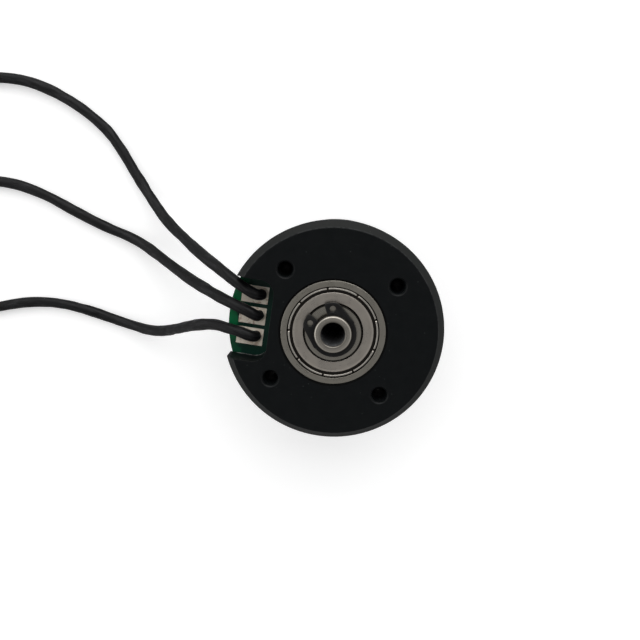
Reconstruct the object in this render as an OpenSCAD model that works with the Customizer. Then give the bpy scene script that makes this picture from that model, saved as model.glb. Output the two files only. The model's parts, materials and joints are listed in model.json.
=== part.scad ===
// Brushless outrunner motor for an underwater thruster, in millimetres.
// The mounting face looks up along +Z and lies in the plane z = 0. The shaft axis is the Z axis.
// The lead notch is on the -X side. The bell hangs below and its front face is the lowest face.

/* [Mounting plate] */
// Diameter of the mounting plate
base_d = 46.6; // [46.2:0.1:52]
// Thickness of the mounting plate
base_t = 6.4; // [6.2:0.1:8]
// Width of the turned chamfer round the face
rim_chamfer_w = 1.6; // [0.4:0.1:2.2]
// Depth of the turned chamfer round the face
rim_chamfer_h = 1.8; // [0.4:0.1:4]
// Pitch circle of the four mounting holes
mount_pcd = 33; // [31:0.1:35]
// Tapping diameter of the mounting holes, for M4
mount_hole_d = 3.3; // [2.5:0.1:3.6]
// Depth of the mounting holes
mount_hole_depth = 4.8; // [4:0.1:5.1]
// Width of the countersink at the mouth of a mounting hole
mount_mouth_w = 0.3; // [0.1:0.05:0.6]

/* [Lead notch] */
// Width of the notch
notch_w = 17.4; // [16.6:0.1:17.8]
// Distance from the axis to the inner wall of the notch
notch_floor_x = 13.3; // [13:0.1:13.8]
// Radius of the inner corners of the notch
notch_corner_r = 3; // [1:0.1:3.6]

/* [Rear bearing] */
// Outer diameter of the bearing in the mounting plate
rear_od = 22; // [21:0.1:22.6]
// Width of that bearing
rear_w = 7; // [6:0.1:7.2]
// Ball diameter
rear_ball_d = 3.969; // [3.5:0.001:4]
// Number of balls
rear_ball_n = 7; // [6:1:8]
// Depth of the bearing below the mounting face
rear_sink = 0.3; // [0.1:0.05:0.5]

/* [Front bearing] */
// Outer diameter of the bearing at the end of the stator tube
front_od = 16; // [15.4:0.1:16.4]
// Width of that bearing
front_w = 5; // [4:0.1:6]
// Ball diameter
front_ball_d = 2; // [1.8:0.05:2.2]
// Number of balls
front_ball_n = 11; // [8:1:12]
// Room for the wave washer behind that bearing
wave_room = 0.8; // [0.5:0.05:1.2]
// Thickness of the wave washer
wave_t = 0.3; // [0.2:0.05:0.4]

/* [Shaft] */
// Diameter of the shaft
shaft_d = 8; // [7.6:0.05:8.2]
// Height of the shaft end above the mounting face
shaft_tip = 1.7; // [1.3:0.1:4]
// Diameter of the bore in the shaft, tapping size for M6
shaft_bore_d = 5; // [3:0.1:5.4]
// Depth of the bore in the shaft
shaft_bore_depth = 20; // [8:0.5:26]
// Chamfer at the end of the shaft
shaft_chamfer = 0.35; // [0.1:0.05:0.5]
// Thickness of the circlip
circlip_t = 0.8; // [0.6:0.05:0.9]
// Depth of the circlip groove
circlip_groove = 0.2; // [0.1:0.05:0.3]
// Radial reach of the circlip lugs beyond the shaft
circlip_lug = 2.5; // [2.2:0.1:2.8]
// Diameter of the hole in each circlip lug
circlip_hole_d = 1.3; // [0.8:0.1:1.4]
// Wall of the spacer tube between the two bearings
spacer_wall = 1.1; // [0.6:0.1:1.3]

/* [Stator] */
// Length of the laminated core
core_l = 13; // [8:0.5:20]
// Width of a tooth
tooth_w = 3.2; // [2.6:0.1:3.6]
// Yoke ring as a share of the radial room between the stator tube and the core's rim
yoke_share = 0.34; // [0.3:0.01:0.38]
// Tooth shoes as a share of that room
shoe_share = 0.135; // [0.1:0.005:0.17]
// Opening between two tooth shoes
slot_mouth = 1.9; // [1.2:0.1:2.6]
// Wall of the stator tube round the front bearing
tube_wall = 1.5; // [1.2:0.1:1.7]
// Thickness of the insulating sheet on each end of the core
sheet_t = 0.5; // [0.2:0.1:0.8]
// Height of the coil heads beyond the core
coil_head = 2.5; // [1.8:0.1:4]
// Thickness of the winding on each side of a tooth
coil_build = 2.2; // [1.6:0.1:2.4]
// Corner radius of a coil
coil_r = 1.4; // [0.6:0.1:1.6]

/* [Rotor] */
// How far the mounting plate stands out round the flux ring and the bell
rotor_step = 0.3; // [0:0.05:0.8]
// Wall of the steel flux ring
ring_wall = 2; // [1.4:0.1:2.4]
// Thickness of a magnet
magnet_t = 2.2; // [1.6:0.1:2.6]
// Length of a magnet beyond the core at each end
magnet_over = 1; // [0:0.1:1]
// Gap between two magnets
magnet_gap = 0.7; // [0.3:0.1:1.5]
// Air gap between the magnets and the teeth
air_gap = 0.5; // [0.35:0.05:0.8]
// Thickness of the bell
bell_t = 4.8; // [4.4:0.1:8]
// Height of the step that locates the flux ring on the bell
bell_step = 1.2; // [0.6:0.1:1.4]
// Chamfer round the front of the bell
bell_chamfer = 0.8; // [0.3:0.1:1.5]
// Width of the web between the windows and the step
bell_web = 0.8; // [0.4:0.1:1.6]
// Width of a spoke between two windows
spoke_w = 4.2; // [3.6:0.1:6]
// Pitch circle of the four propeller screw holes
prop_pcd = 16; // [15:0.1:16.4]
// Tapping diameter of the propeller screw holes, for M3
prop_hole_d = 2.5; // [2:0.1:3]
// Diameter of the two grub screws
grub_d = 3; // [2.5:0.1:3.2]
// Length of a grub screw
grub_l = 5; // [3:0.5:6]
// Key size of the grub screws
grub_key = 1.5; // [1.3:0.1:1.6]

/* [Connection board and leads] */
// Thickness of the connection board
board_t = 1.2; // [0.8:0.1:1.6]
// Distance of the board's edge inside the rim of the plate
board_inset = 0.4; // [0.1:0.1:1]
// Length of a solder pad
pad_l = 5.8; // [5:0.1:6.4]
// Width of a solder pad
pad_w = 3.8; // [3.4:0.1:4.2]
// Distance between two solder pads
pad_pitch = 4.65; // [4.4:0.05:4.8]
// Thickness of the tin on a pad
pad_t = 0.1; // [0.05:0.05:0.2]
// Outer diameter of a lead
lead_d = 2.7; // [2:0.1:2.8]
// Diameter of the tinned strand at the end of a lead
strand_d = 1.6; // [1:0.1:1.8]
// Length of the tinned strand
strand_l = 5; // [3:0.5:8]

/* [Hidden] */
$fn = 96;

// Fits and clearances
slip = 0.02;           // radial play of a pressed or glued fit
ball_play = 0.03;      // play between a ball and its race
shield_play = 0.22;    // gap between a shield and the inner ring
overrun = 1;           // how far a cut runs past a face
run_gap = 0.8;         // gap between the board and the flux ring, and behind the stator tube
edge = 0.3;            // small chamfer on a turned edge

// Mounting plate
plate_r = base_d / 2;
mount_n = 4;
mount_turn = 45;
seat_lead_in = 0.35;   // chamfer at the mouth of the rear bearing seat
boss_wall = 1.3;       // wall of the boss round the rear bearing seat
boss_r = rear_od / 2 + boss_wall;
shoulder_w = 1.4;      // width of the shoulder that the rear outer ring sits on
relief_h = 0.5;        // relief below the inner parts of the rear bearing
stop_w = 1.1;          // step that the core is pushed against
drill_tip_share = 0.3; // depth of a drill point as a share of the hole's diameter

// Heights, from the mounting face down
rear_top = -rear_sink;
rear_bottom = rear_top - rear_w;
board_top = -base_t;
board_bottom = board_top - board_t;
board_gap = 0.4;       // gap between the board and the coil heads
coil_top = board_bottom - board_gap;
core_top = coil_top - coil_head;
core_bottom = core_top - core_l;
coil_bottom = core_bottom - coil_head;
tube_over = 0.4;       // length of the stator tube beyond the coil heads
tube_end = coil_bottom - tube_over;
front_top = tube_end + front_w;
bell_top = tube_end - run_gap;
bell_bottom = bell_top - bell_t;
ring_top = board_bottom - run_gap;
boss_bottom = board_bottom - board_gap;

// Radii of the stator and the rotor
tube_r = front_od / 2 + tube_wall;
tube_lip = 1.1;        // width of the lip that the wave washer pushes against
tube_bore_r = front_od / 2 - tube_lip;
ring_r = plate_r - rotor_step;
magnet_r = ring_r - ring_wall;
core_r = magnet_r - magnet_t - air_gap;
core_room = core_r - tube_r;
yoke_r = tube_r + yoke_share * core_room;
shoe_r = core_r - shoe_share * core_room;
slot_n = 12;
pole_n = 14;
liner = 0.15;          // insulation between a coil and its tooth
coil_gap = 0.4;        // gap between two coils in a slot
coil_in_r = yoke_r + liner;
coil_out_r = shoe_r - liner;

// The coil numbers of each phase, in the order of the 12 slot, 14 pole winding
phase_u_coils = [0, 1, 6, 7];
phase_v_coils = [2, 3, 8, 9];
phase_w_coils = [4, 5, 10, 11];
tail_coils = [7, 8, 5];

function circle_point(r, a) = [r * cos(a), r * sin(a)];

// A wedge of the plane between two angles, out to radius r
module wedge(r, a0, a1) {
    mid = (a0 + a1) / 2;
    polygon([[0, 0], circle_point(r, a0), circle_point(r / cos((a1 - a0) / 2), mid), circle_point(r, a1)]);
}

// A ring in the plane
module ring(r_out, r_in) {
    difference() {
        circle(r = r_out);
        circle(r = r_in);
    }
}

// A rectangle with round corners, centred
module rounded_rect(w, h, r) {
    square([w - 2 * r, h], center = true);
    square([w, h - 2 * r], center = true);
    for (x = [-1, 1], y = [-1, 1]) {
        translate([x * (w / 2 - r), y * (h / 2 - r)]) circle(r = r);
    }
}

module place_round(count, turn = 0) {
    for (i = [0 : count - 1]) {
        rotate([0, 0, turn + i * 360 / count]) children();
    }
}

// Bearings. Each of these modules is centred on its bearing.
groove_share = 1.04;   // radius of a race's groove as a share of the ball's
land_share = 0.73;     // height of a race's edge above the pitch circle as a share of the ball's radius
seat_step = 0.45;      // step from the edge of the outer race to the seat of the shield
shield_t = 0.25;       // sheet of a shield
shield_sink = 0.3;     // depth of the flat of a shield below the ring's face
rim_sink = 0.2;        // depth of the rolled rim of a shield below the ring's face
trough_h = 0.35;       // depth of the trough inside the rolled rim
trough_w = 0.45;
rim_w = 0.3;
shield_notch_n = 9;
shield_notch_w = 0.35;
shield_notch_h = 0.3;
shield_turn = 25.5;
cage_t = 0.3;          // sheet of a cage
cage_play = 0.08;
cage_band_share = 0.38; // half width of the cage's band as a share of the ball's radius

function pitch_r(od) = (od + shaft_d) / 4;
function outer_land_r(od, ball_d) = pitch_r(od) + land_share * ball_d / 2;
function inner_land_r(od, ball_d) = pitch_r(od) - land_share * ball_d / 2;
function shield_seat_r(od, ball_d) = outer_land_r(od, ball_d) + seat_step;

// Half section of a ring, plain at r_plain and with chamfered edges at r_fit
module ring_section(r_plain, r_fit, w) {
    c = edge * sign(r_plain - r_fit);
    polygon([[r_plain, -w / 2], [r_fit + c, -w / 2], [r_fit, -w / 2 + edge],
        [r_fit, w / 2 - edge], [r_fit + c, w / 2], [r_plain, w / 2]]);
}

module bearing_outer_ring(od, w, ball_d) {
    land_r = outer_land_r(od, ball_d);
    groove_r = groove_share * ball_d / 2;
    seat_h = shield_sink + trough_h + shield_t;
    rotate_extrude() difference() {
        ring_section(land_r, od / 2, w);
        translate([pitch_r(od) + ball_d / 2 + ball_play - groove_r, 0]) circle(r = groove_r);
        for (side = [0, 1]) {
            mirror([0, side]) translate([land_r - overrun, w / 2 - seat_h]) {
                square([seat_step + overrun, seat_h + overrun]);
            }
        }
    }
}

module bearing_inner_ring(od, w, ball_d) {
    groove_r = groove_share * ball_d / 2;
    rotate_extrude() difference() {
        ring_section(inner_land_r(od, ball_d), shaft_d / 2 + slip, w);
        translate([pitch_r(od) - ball_d / 2 - ball_play + groove_r, 0]) circle(r = groove_r);
    }
}

// One pressed shield: flat, trough and rolled rim, notched so that it springs into its seat
module bearing_shield(od, w, ball_d) {
    bore_r = inner_land_r(od, ball_d) + shield_play;
    seat_r = shield_seat_r(od, ball_d);
    rim_r = seat_r - rim_w;
    flat_r = rim_r - trough_w;
    flat_z = w / 2 - shield_sink;
    rim_z = w / 2 - rim_sink;
    trough_z = flat_z - trough_h;
    difference() {
        rotate_extrude() polygon([[bore_r, flat_z - shield_t], [bore_r, flat_z], [flat_r, flat_z],
            [flat_r, trough_z], [rim_r, trough_z], [rim_r, rim_z], [seat_r, rim_z],
            [seat_r, trough_z - shield_t], [flat_r - shield_t, trough_z - shield_t],
            [flat_r - shield_t, flat_z - shield_t]]);
        place_round(shield_notch_n, shield_turn) {
            translate([rim_r - trough_w / 2, -shield_notch_w / 2, rim_z - shield_notch_h]) {
                cube([rim_w + trough_w / 2 + overrun, shield_notch_w, shield_notch_h + overrun]);
            }
        }
    }
}

module bearing_shields(od, w, ball_d) {
    bearing_shield(od, w, ball_d);
    mirror([0, 0, 1]) bearing_shield(od, w, ball_d);
}

module bearing_balls(od, ball_d, count) {
    place_round(count) translate([pitch_r(od), 0, 0]) sphere(d = ball_d);
}

// Ribbon cage: bent into a cup round each ball and flat between the cups
module bearing_cage(od, ball_d, count) {
    cup_r = ball_d / 2 + cage_play;
    band = cage_band_share * ball_d / 2;
    inner_r = pitch_r(od) - band;
    difference() {
        union() {
            translate([0, 0, -cage_t]) linear_extrude(2 * cage_t) ring(inner_r + 2 * band, inner_r);
            place_round(count) translate([inner_r, 0, 0]) rotate([0, 90, 0]) {
                cylinder(h = 2 * band, r = cup_r + cage_t);
            }
        }
        place_round(count) translate([inner_r - band, 0, 0]) rotate([0, 90, 0]) {
            cylinder(h = 4 * band, r = cup_r);
        }
    }
}

module at_rear() {
    translate([0, 0, (rear_top + rear_bottom) / 2]) children();
}

module at_front() {
    translate([0, 0, (front_top + tube_end) / 2]) children();
}

module rear_bearing_outer_ring() {
    color([0.72, 0.71, 0.68]) at_rear() bearing_outer_ring(rear_od, rear_w, rear_ball_d);
}

module rear_bearing_inner_ring() {
    color([0.70, 0.69, 0.66]) at_rear() bearing_inner_ring(rear_od, rear_w, rear_ball_d);
}

module rear_bearing_shields() {
    color([0.76, 0.75, 0.72]) at_rear() bearing_shields(rear_od, rear_w, rear_ball_d);
}

module rear_bearing_balls() {
    color([0.82, 0.82, 0.82]) at_rear() bearing_balls(rear_od, rear_ball_d, rear_ball_n);
}

module rear_bearing_cage() {
    color([0.60, 0.60, 0.58]) at_rear() bearing_cage(rear_od, rear_ball_d, rear_ball_n);
}

module front_bearing_outer_ring() {
    color([0.72, 0.71, 0.68]) at_front() bearing_outer_ring(front_od, front_w, front_ball_d);
}

module front_bearing_inner_ring() {
    color([0.70, 0.69, 0.66]) at_front() bearing_inner_ring(front_od, front_w, front_ball_d);
}

module front_bearing_shields() {
    color([0.76, 0.75, 0.72]) at_front() bearing_shields(front_od, front_w, front_ball_d);
}

module front_bearing_balls() {
    color([0.82, 0.82, 0.82]) at_front() bearing_balls(front_od, front_ball_d, front_ball_n);
}

module front_bearing_cage() {
    color([0.60, 0.60, 0.58]) at_front() bearing_cage(front_od, front_ball_d, front_ball_n);
}

// Mounting plate, turned in one piece with the stator tube
module plate_section() {
    seat_r = rear_od / 2 + slip;
    front_seat_r = front_od / 2 + slip;
    relief_r = seat_r - shoulder_w;
    washer_z = front_top + wave_room;
    polygon([[seat_r + seat_lead_in, 0], [plate_r - rim_chamfer_w, 0], [plate_r, -rim_chamfer_h],
        [plate_r, board_top], [boss_r, board_top], [boss_r, boss_bottom], [tube_r + stop_w, boss_bottom],
        [tube_r + stop_w, core_top], [tube_r, core_top], [tube_r, tube_end + edge], [tube_r - edge, tube_end],
        [front_seat_r, tube_end], [front_seat_r, washer_z], [tube_bore_r, washer_z],
        [tube_bore_r, rear_bottom - relief_h], [relief_r, rear_bottom - relief_h], [relief_r, rear_bottom],
        [seat_r, rear_bottom], [seat_r, -seat_lead_in]]);
}

// Outline of the notch, on the +X side: its sides are parallel and its inner corners are round
module notch_outline() {
    translate([notch_floor_x, 0]) hull() {
        for (side = [-1, 1]) {
            translate([notch_corner_r, side * (notch_w / 2 - notch_corner_r)]) circle(r = notch_corner_r);
        }
        translate([plate_r + overrun - notch_floor_x, 0]) square([overrun, notch_w], center = true);
    }
}

// A blind hole drilled down from z = 0, with a countersunk mouth and a drill point
module drilled_hole(d, depth, mouth) {
    rotate_extrude() polygon([[0, overrun], [d / 2 + mouth, overrun], [d / 2 + mouth, 0], [d / 2, -mouth],
        [d / 2, -depth], [0, -depth - drill_tip_share * d]]);
}

module base_plate() {
    color([0.10, 0.10, 0.11]) difference() {
        rotate_extrude() plate_section();
        rotate([0, 0, 180]) translate([0, 0, -base_t - overrun / 2]) {
            linear_extrude(base_t + overrun) notch_outline();
        }
        place_round(mount_n, mount_turn) translate([mount_pcd / 2, 0, 0]) {
            drilled_hole(mount_hole_d, mount_hole_depth, mount_mouth_w);
        }
    }
}

// Stator core: yoke ring, teeth and tooth shoes
module core_outline(bore_r, rim_r) {
    difference() {
        circle(r = rim_r);
        circle(r = bore_r);
        difference() {
            circle(r = shoe_r);
            circle(r = yoke_r);
            place_round(slot_n) translate([0, -tooth_w / 2]) square([rim_r, tooth_w]);
        }
        place_round(slot_n, 180 / slot_n) translate([coil_in_r, -slot_mouth / 2]) {
            square([rim_r, slot_mouth]);
        }
    }
}

module stator_core() {
    color([0.45, 0.46, 0.48]) translate([0, 0, core_bottom]) {
        linear_extrude(core_l) core_outline(tube_r + slip, core_r);
    }
}

// Insulating sheets on both ends of the core
module end_insulators() {
    color([0.16, 0.32, 0.55]) for (z = [core_top, core_bottom - sheet_t]) {
        translate([0, 0, z]) linear_extrude(sheet_t) core_outline(tube_r + stop_w + liner, core_r - liner);
    }
}

// One coil round a tooth on the +X side, narrowed to its share of the slots and round below the shoe
module coil() {
    half = 180 / slot_n;
    width = tooth_w + 2 * coil_build;
    height = core_l + 2 * coil_head;
    tip_x = coil_gap / 2 / sin(half);
    far_x = core_r;
    far_y = (far_x - tip_x) * tan(half);
    intersection() {
        translate([coil_in_r, 0, (core_top + core_bottom) / 2]) rotate([90, 0, 90]) {
            linear_extrude(coil_out_r - coil_in_r) difference() {
                rounded_rect(width, height, coil_r);
                square([tooth_w + 2 * liner, core_l + 2 * sheet_t], center = true);
            }
        }
        translate([0, 0, coil_bottom - overrun]) linear_extrude(height + 2 * overrun) intersection() {
            polygon([[tip_x, 0], [far_x, -far_y], [far_x, far_y]]);
            circle(r = coil_out_r);
        }
    }
}

module phase_coils(numbers) {
    color([0.62, 0.30, 0.13]) for (i = numbers) {
        rotate([0, 0, i * 360 / slot_n]) coil();
    }
}

module coils_phase_u() {
    phase_coils(phase_u_coils);
}

module coils_phase_v() {
    phase_coils(phase_v_coils);
}

module coils_phase_w() {
    phase_coils(phase_w_coils);
}

// Wire ends that run from one coil of each phase up into the board
tail_d = 1.2;
tail_r = (coil_in_r + coil_out_r) / 2;
tail_cover = 0.1;      // depth of a wire end below the top of the board

module at_tails() {
    for (i = tail_coils) {
        rotate([0, 0, i * 360 / slot_n]) translate([tail_r, 0, coil_top]) children();
    }
}

module winding_tails() {
    color([0.72, 0.38, 0.18]) at_tails() cylinder(h = board_top - tail_cover - coil_top, d = tail_d);
}

board_play = 0.2;      // play between the board and the boss

module connection_board() {
    color([0.03, 0.38, 0.20]) difference() {
        translate([0, 0, board_bottom]) linear_extrude(board_t) {
            ring(plate_r - board_inset, boss_r + board_play);
        }
        at_tails() cylinder(h = board_top - coil_top + overrun, d = tail_d + 2 * slip);
    }
}

pad_margin = 1.6;      // distance of the pads from the inner wall of the notch
pad_top = board_top + pad_t;
pad_rows = [1, 0, -1];

module solder_pads() {
    color([0.86, 0.82, 0.74]) for (row = pad_rows) {
        translate([-notch_floor_x - pad_margin - pad_l, row * pad_pitch - pad_w / 2, board_top]) {
            cube([pad_l, pad_w, pad_t]);
        }
    }
}

// Lead routes, from the pads out through the notch and down to the surface that the motor stands on
lead_u_route = [[-16.4, 4.9, -6], [-16.4, 4.9, -5.6], [-16.6, 4.9, -4.9], [-17.1, 5, -4.3], [-18, 5.2, -4],
    [-19.8, 5.9, -4.2], [-22.6, 7.2, -4.8], [-25.3, 8.4, -6.4], [-28.8, 9.8, -9.3], [-33.4, 11.5, -14.2],
    [-37.9, 13.4, -19.3], [-42, 15.3, -23.6], [-46, 18, -27], [-50, 21.7, -29.4], [-54, 26.2, -30.4],
    [-58, 31.2, -30.6], [-61.5, 35, -30.6], [-65, 37.6, -30.6], [-70, 40.4, -30.6], [-76, 42.8, -30.6],
    [-82, 44.2, -30.6], [-88, 44.4, -30.6], [-94, 43.4, -30.6], [-99.5, 41.2, -30.6]];
lead_v_route = [[-16.4, 0.3, -6], [-16.4, 0.3, -5.6], [-16.6, 0.3, -4.9], [-17.1, 0.5, -4.3], [-18, 0.9, -4],
    [-19.8, 1.5, -4.2], [-22.7, 2.3, -4.9], [-25.9, 2.9, -7], [-29.8, 3.6, -10.7], [-33.9, 4.3, -15.2],
    [-37.9, 5.2, -19.6], [-42, 6.4, -23.4], [-46, 7.8, -26.6], [-50, 9.3, -29], [-54, 10.5, -30.2],
    [-58.5, 11.6, -30.6], [-63, 12.9, -30.6], [-69, 15, -30.6], [-75, 17.2, -30.6], [-81, 18.8, -30.6],
    [-87, 19.4, -30.6], [-93, 18.8, -30.6], [-99, 17.2, -30.6], [-104.5, 14.8, -30.6]];
lead_w_route = [[-16.4, -4.3, -6], [-16.4, -4.3, -5.6], [-16.6, -4.3, -4.9], [-17.1, -4.2, -4.3],
    [-18, -4, -4], [-19.8, -3.6, -4.2], [-22.6, -3.4, -4.9], [-25.8, -3.5, -7], [-29.3, -4.6, -10.1],
    [-32.9, -6.3, -14.2], [-36.9, -8.5, -19], [-41, -10.5, -23.2], [-45, -11.7, -26.6], [-49, -12, -29],
    [-53.5, -11.6, -30.2], [-58, -10.9, -30.6], [-63, -10, -30.6], [-69, -9.4, -30.6], [-75, -9.6, -30.6],
    [-81, -10.8, -30.6], [-87, -12.8, -30.6], [-93, -15, -30.6], [-99, -16.8, -30.6], [-105, -17.6, -30.6]];
lead_routes = [lead_u_route, lead_v_route, lead_w_route];
lead_sides = 8;

function unit(v) = v / norm(v);
function tangent(p, i) = unit(p[min(i + 1, len(p) - 1)] - p[max(i - 1, 0)]);
function square_to(v, t) = unit(v - (v * t) * t);

// One vector square to the route at each point, turned along with it
function route_normals(p, i, v) = i == len(p) ? []
    : let (n = square_to(v, tangent(p, i))) concat([n], route_normals(p, i + 1, n));

// A tube of radius r along the points p
module tube(p, r, sides) {
    n = route_normals(p, 0, [0, 1, 0]);
    points = [for (i = [0 : len(p) - 1], k = [0 : sides - 1])
        let (a = k * 360 / sides) p[i] + r * cos(a) * n[i] + r * sin(a) * cross(tangent(p, i), n[i])];
    walls = [for (i = [0 : len(p) - 2], k = [0 : sides - 1])
        let (a = i * sides + k, b = i * sides + (k + 1) % sides)
        each [[a, b + sides, b], [a, a + sides, b + sides]]];
    first = [for (k = [0 : sides - 1]) k];
    last = [for (k = [sides - 1 : -1 : 0]) (len(p) - 1) * sides + k];
    polyhedron(points, concat(walls, [first], [last]));
}

module lead_u() {
    color([0.13, 0.13, 0.14]) tube(lead_u_route, lead_d / 2, lead_sides);
}

module lead_v() {
    color([0.13, 0.13, 0.14]) tube(lead_v_route, lead_d / 2, lead_sides);
}

module lead_w() {
    color([0.13, 0.13, 0.14]) tube(lead_w_route, lead_d / 2, lead_sides);
}

// Stripped and tinned strand at the free end of each lead
module lead_strands() {
    color([0.80, 0.79, 0.76]) for (p = lead_routes) {
        last = len(p) - 1;
        t = tangent(p, last);
        translate(p[last]) rotate([0, acos(t.z), atan2(t.y, t.x)]) cylinder(h = strand_l, d = strand_d);
    }
}

// Solder between each pad and the foot of its lead
joint_flare = 0.2;
joint_h = 0.3;
foot_in = 1.5;         // distance of a foot's axis from the inner end of its pad
foot_off = 0.3;        // distance of a foot's axis from the middle of its pad

module solder_joints() {
    color([0.74, 0.74, 0.73]) for (row = pad_rows) {
        translate([-notch_floor_x - pad_margin - foot_in, row * pad_pitch + foot_off, pad_top]) {
            cylinder(h = joint_h, r1 = lead_d / 2 + joint_flare, r2 = lead_d / 2);
        }
    }
}

// Shaft with its bore, circlip groove and two flats for the grub screws
shaft_r = shaft_d / 2;
shaft_end_sink = 0.3;  // depth of the shaft end inside the bell
groove_play = 0.05;
flat_depth = 0.3;
flat_over = 0.5;       // length of a flat beyond its screw at each side
grub_turns = [30, 150];
grub_z = (bell_top + bell_bottom) / 2;
shaft_bottom = bell_bottom + shaft_end_sink;

module shaft() {
    bore_r = shaft_bore_d / 2;
    groove_r = shaft_r - circlip_groove;
    groove_z = rear_top - groove_play;
    groove_top = rear_top + circlip_t + groove_play;
    flat_l = grub_d + 2 * flat_over;
    color([0.74, 0.74, 0.73]) difference() {
        rotate_extrude() polygon([[0, shaft_bottom], [shaft_r - shaft_chamfer, shaft_bottom],
            [shaft_r, shaft_bottom + shaft_chamfer], [shaft_r, groove_z], [groove_r, groove_z],
            [groove_r, groove_top], [shaft_r, groove_top], [shaft_r, shaft_tip - shaft_chamfer],
            [shaft_r - shaft_chamfer, shaft_tip], [bore_r + shaft_chamfer, shaft_tip],
            [bore_r, shaft_tip - shaft_chamfer], [bore_r, shaft_tip - shaft_bore_depth],
            [0, shaft_tip - shaft_bore_depth - drill_tip_share * shaft_bore_d]]);
        for (turn = grub_turns) {
            rotate([0, 0, turn]) translate([shaft_r - flat_depth, -shaft_r, grub_z - flat_l / 2]) {
                cube([shaft_r, 2 * shaft_r, flat_l]);
            }
        }
    }
}

// External circlip, open between its two lugs
circlip_gap = 131.5;   // direction of the gap
circlip_gap_half = 16.5;
circlip_lug_half = 47;
circlip_flank_half = 96; // where the straight flank of a lug ends in a corner on the body
circlip_body = 1;      // mean width of the body
circlip_offset = 0.2;  // the body is wider opposite the gap

module circlip() {
    groove_r = shaft_r - circlip_groove;
    lug_r = shaft_r + circlip_lug;
    corner_r = groove_r + circlip_body + circlip_offset;
    hole_r = (shaft_r + lug_r) / 2 - circlip_groove;
    hole_turn = (circlip_gap_half + circlip_lug_half) / 2;
    color([0.20, 0.22, 0.27]) translate([0, 0, rear_top]) rotate([0, 0, circlip_gap]) {
        linear_extrude(circlip_t) difference() {
            union() {
                translate([-circlip_offset, 0]) circle(r = groove_r + circlip_body);
                intersection() {
                    circle(r = lug_r);
                    wedge(lug_r, -circlip_lug_half, circlip_lug_half);
                }
                for (side = [-1, 1]) {
                    polygon([[0, 0], circle_point(lug_r, side * circlip_lug_half),
                        circle_point(corner_r, side * circlip_flank_half)]);
                }
            }
            circle(r = groove_r);
            wedge(lug_r + overrun, -circlip_gap_half, circlip_gap_half);
            for (side = [-1, 1]) {
                rotate([0, 0, side * hole_turn]) translate([hole_r, 0]) circle(d = circlip_hole_d);
            }
        }
    }
}

module spacer_tube() {
    color([0.70, 0.71, 0.72]) translate([0, 0, front_top]) linear_extrude(rear_bottom - front_top) {
        ring(shaft_r + slip + spacer_wall, shaft_r + slip);
    }
}

module hub_washer() {
    color([0.70, 0.71, 0.72]) translate([0, 0, bell_top]) linear_extrude(tube_end - bell_top) {
        ring(shaft_r + slip + spacer_wall, shaft_r + slip);
    }
}

// Wave washer that pushes the front bearing away from the lip in the stator tube
wave_n = 3;
wave_steps = 48;
corner_n = 4;          // corners of the washer's section

module wave_washer() {
    inner_r = tube_bore_r + slip;
    outer_r = front_od / 2 - slip;
    swing = (wave_room - wave_t) / 2;
    middle = front_top + wave_room / 2;
    points = [for (i = [0 : wave_steps - 1])
        let (a = i * 360 / wave_steps, z = middle + swing * cos(wave_n * a), d = [cos(a), sin(a), 0])
        each [inner_r * d + [0, 0, z - wave_t / 2], outer_r * d + [0, 0, z - wave_t / 2],
            outer_r * d + [0, 0, z + wave_t / 2], inner_r * d + [0, 0, z + wave_t / 2]]];
    faces = [for (i = [0 : wave_steps - 1], k = [0 : corner_n - 1])
        let (here = corner_n * i, next = corner_n * ((i + 1) % wave_steps), l = (k + 1) % corner_n)
        each [[here + k, here + l, next + l], [here + k, next + l, next + k]]];
    color([0.66, 0.66, 0.68]) polyhedron(points, faces);
}

module flux_ring() {
    color([0.35, 0.36, 0.38]) translate([0, 0, bell_top]) linear_extrude(ring_top - bell_top) {
        ring(ring_r, magnet_r);
    }
}

module magnets() {
    half = 180 / pole_n - asin(magnet_gap / 2 / (magnet_r - magnet_t));
    color([0.66, 0.67, 0.69]) translate([0, 0, core_bottom - magnet_over]) {
        linear_extrude(core_l + 2 * magnet_over) place_round(pole_n) intersection() {
            ring(magnet_r, magnet_r - magnet_t);
            wedge(magnet_r, -half, half);
        }
    }
}

// Bell: hub, spokes and rim in one piece, with kidney windows between the spokes
window_n = 6;
window_turn = 30;
hub_wall = 1.95;       // wall outside the propeller screw holes
hub_r = (prop_pcd + prop_hole_d) / 2 + hub_wall;
step_wall = 1.6;       // radial width of the step inside the flux ring
window_out_r = magnet_r - step_wall - bell_web;
window_w = window_out_r - hub_r;
window_mid_r = (window_out_r + hub_r) / 2;

module window_outline() {
    half = 180 / window_n - asin((spoke_w + window_w) / (2 * window_mid_r));
    intersection() {
        ring(window_out_r, hub_r);
        wedge(window_out_r, -half, half);
    }
    for (side = [-1, 1]) {
        rotate([0, 0, side * half]) translate([window_mid_r, 0]) circle(d = window_w);
    }
}

module bell() {
    bore_r = shaft_r + slip;
    step_r = magnet_r - slip;
    step_top = bell_top + bell_step;
    color([0.11, 0.11, 0.12]) difference() {
        rotate_extrude() polygon([[bore_r, bell_top], [magnet_r - step_wall, bell_top],
            [magnet_r - step_wall, step_top], [step_r, step_top], [step_r, bell_top], [ring_r, bell_top],
            [ring_r, bell_bottom + bell_chamfer], [ring_r - bell_chamfer, bell_bottom],
            [bore_r + edge, bell_bottom], [bore_r, bell_bottom + edge]]);
        place_round(window_n, window_turn) translate([0, 0, bell_bottom - overrun]) {
            linear_extrude(bell_t + 2 * overrun) window_outline();
        }
        place_round(mount_n) translate([prop_pcd / 2, 0, bell_bottom - overrun]) {
            cylinder(h = bell_t + 2 * overrun, d = prop_hole_d);
        }
        for (turn = grub_turns) {
            rotate([0, 0, turn]) translate([0, 0, grub_z]) rotate([0, 90, 0]) {
                cylinder(h = window_mid_r, d = grub_d + 2 * slip);
            }
        }
    }
}

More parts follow.
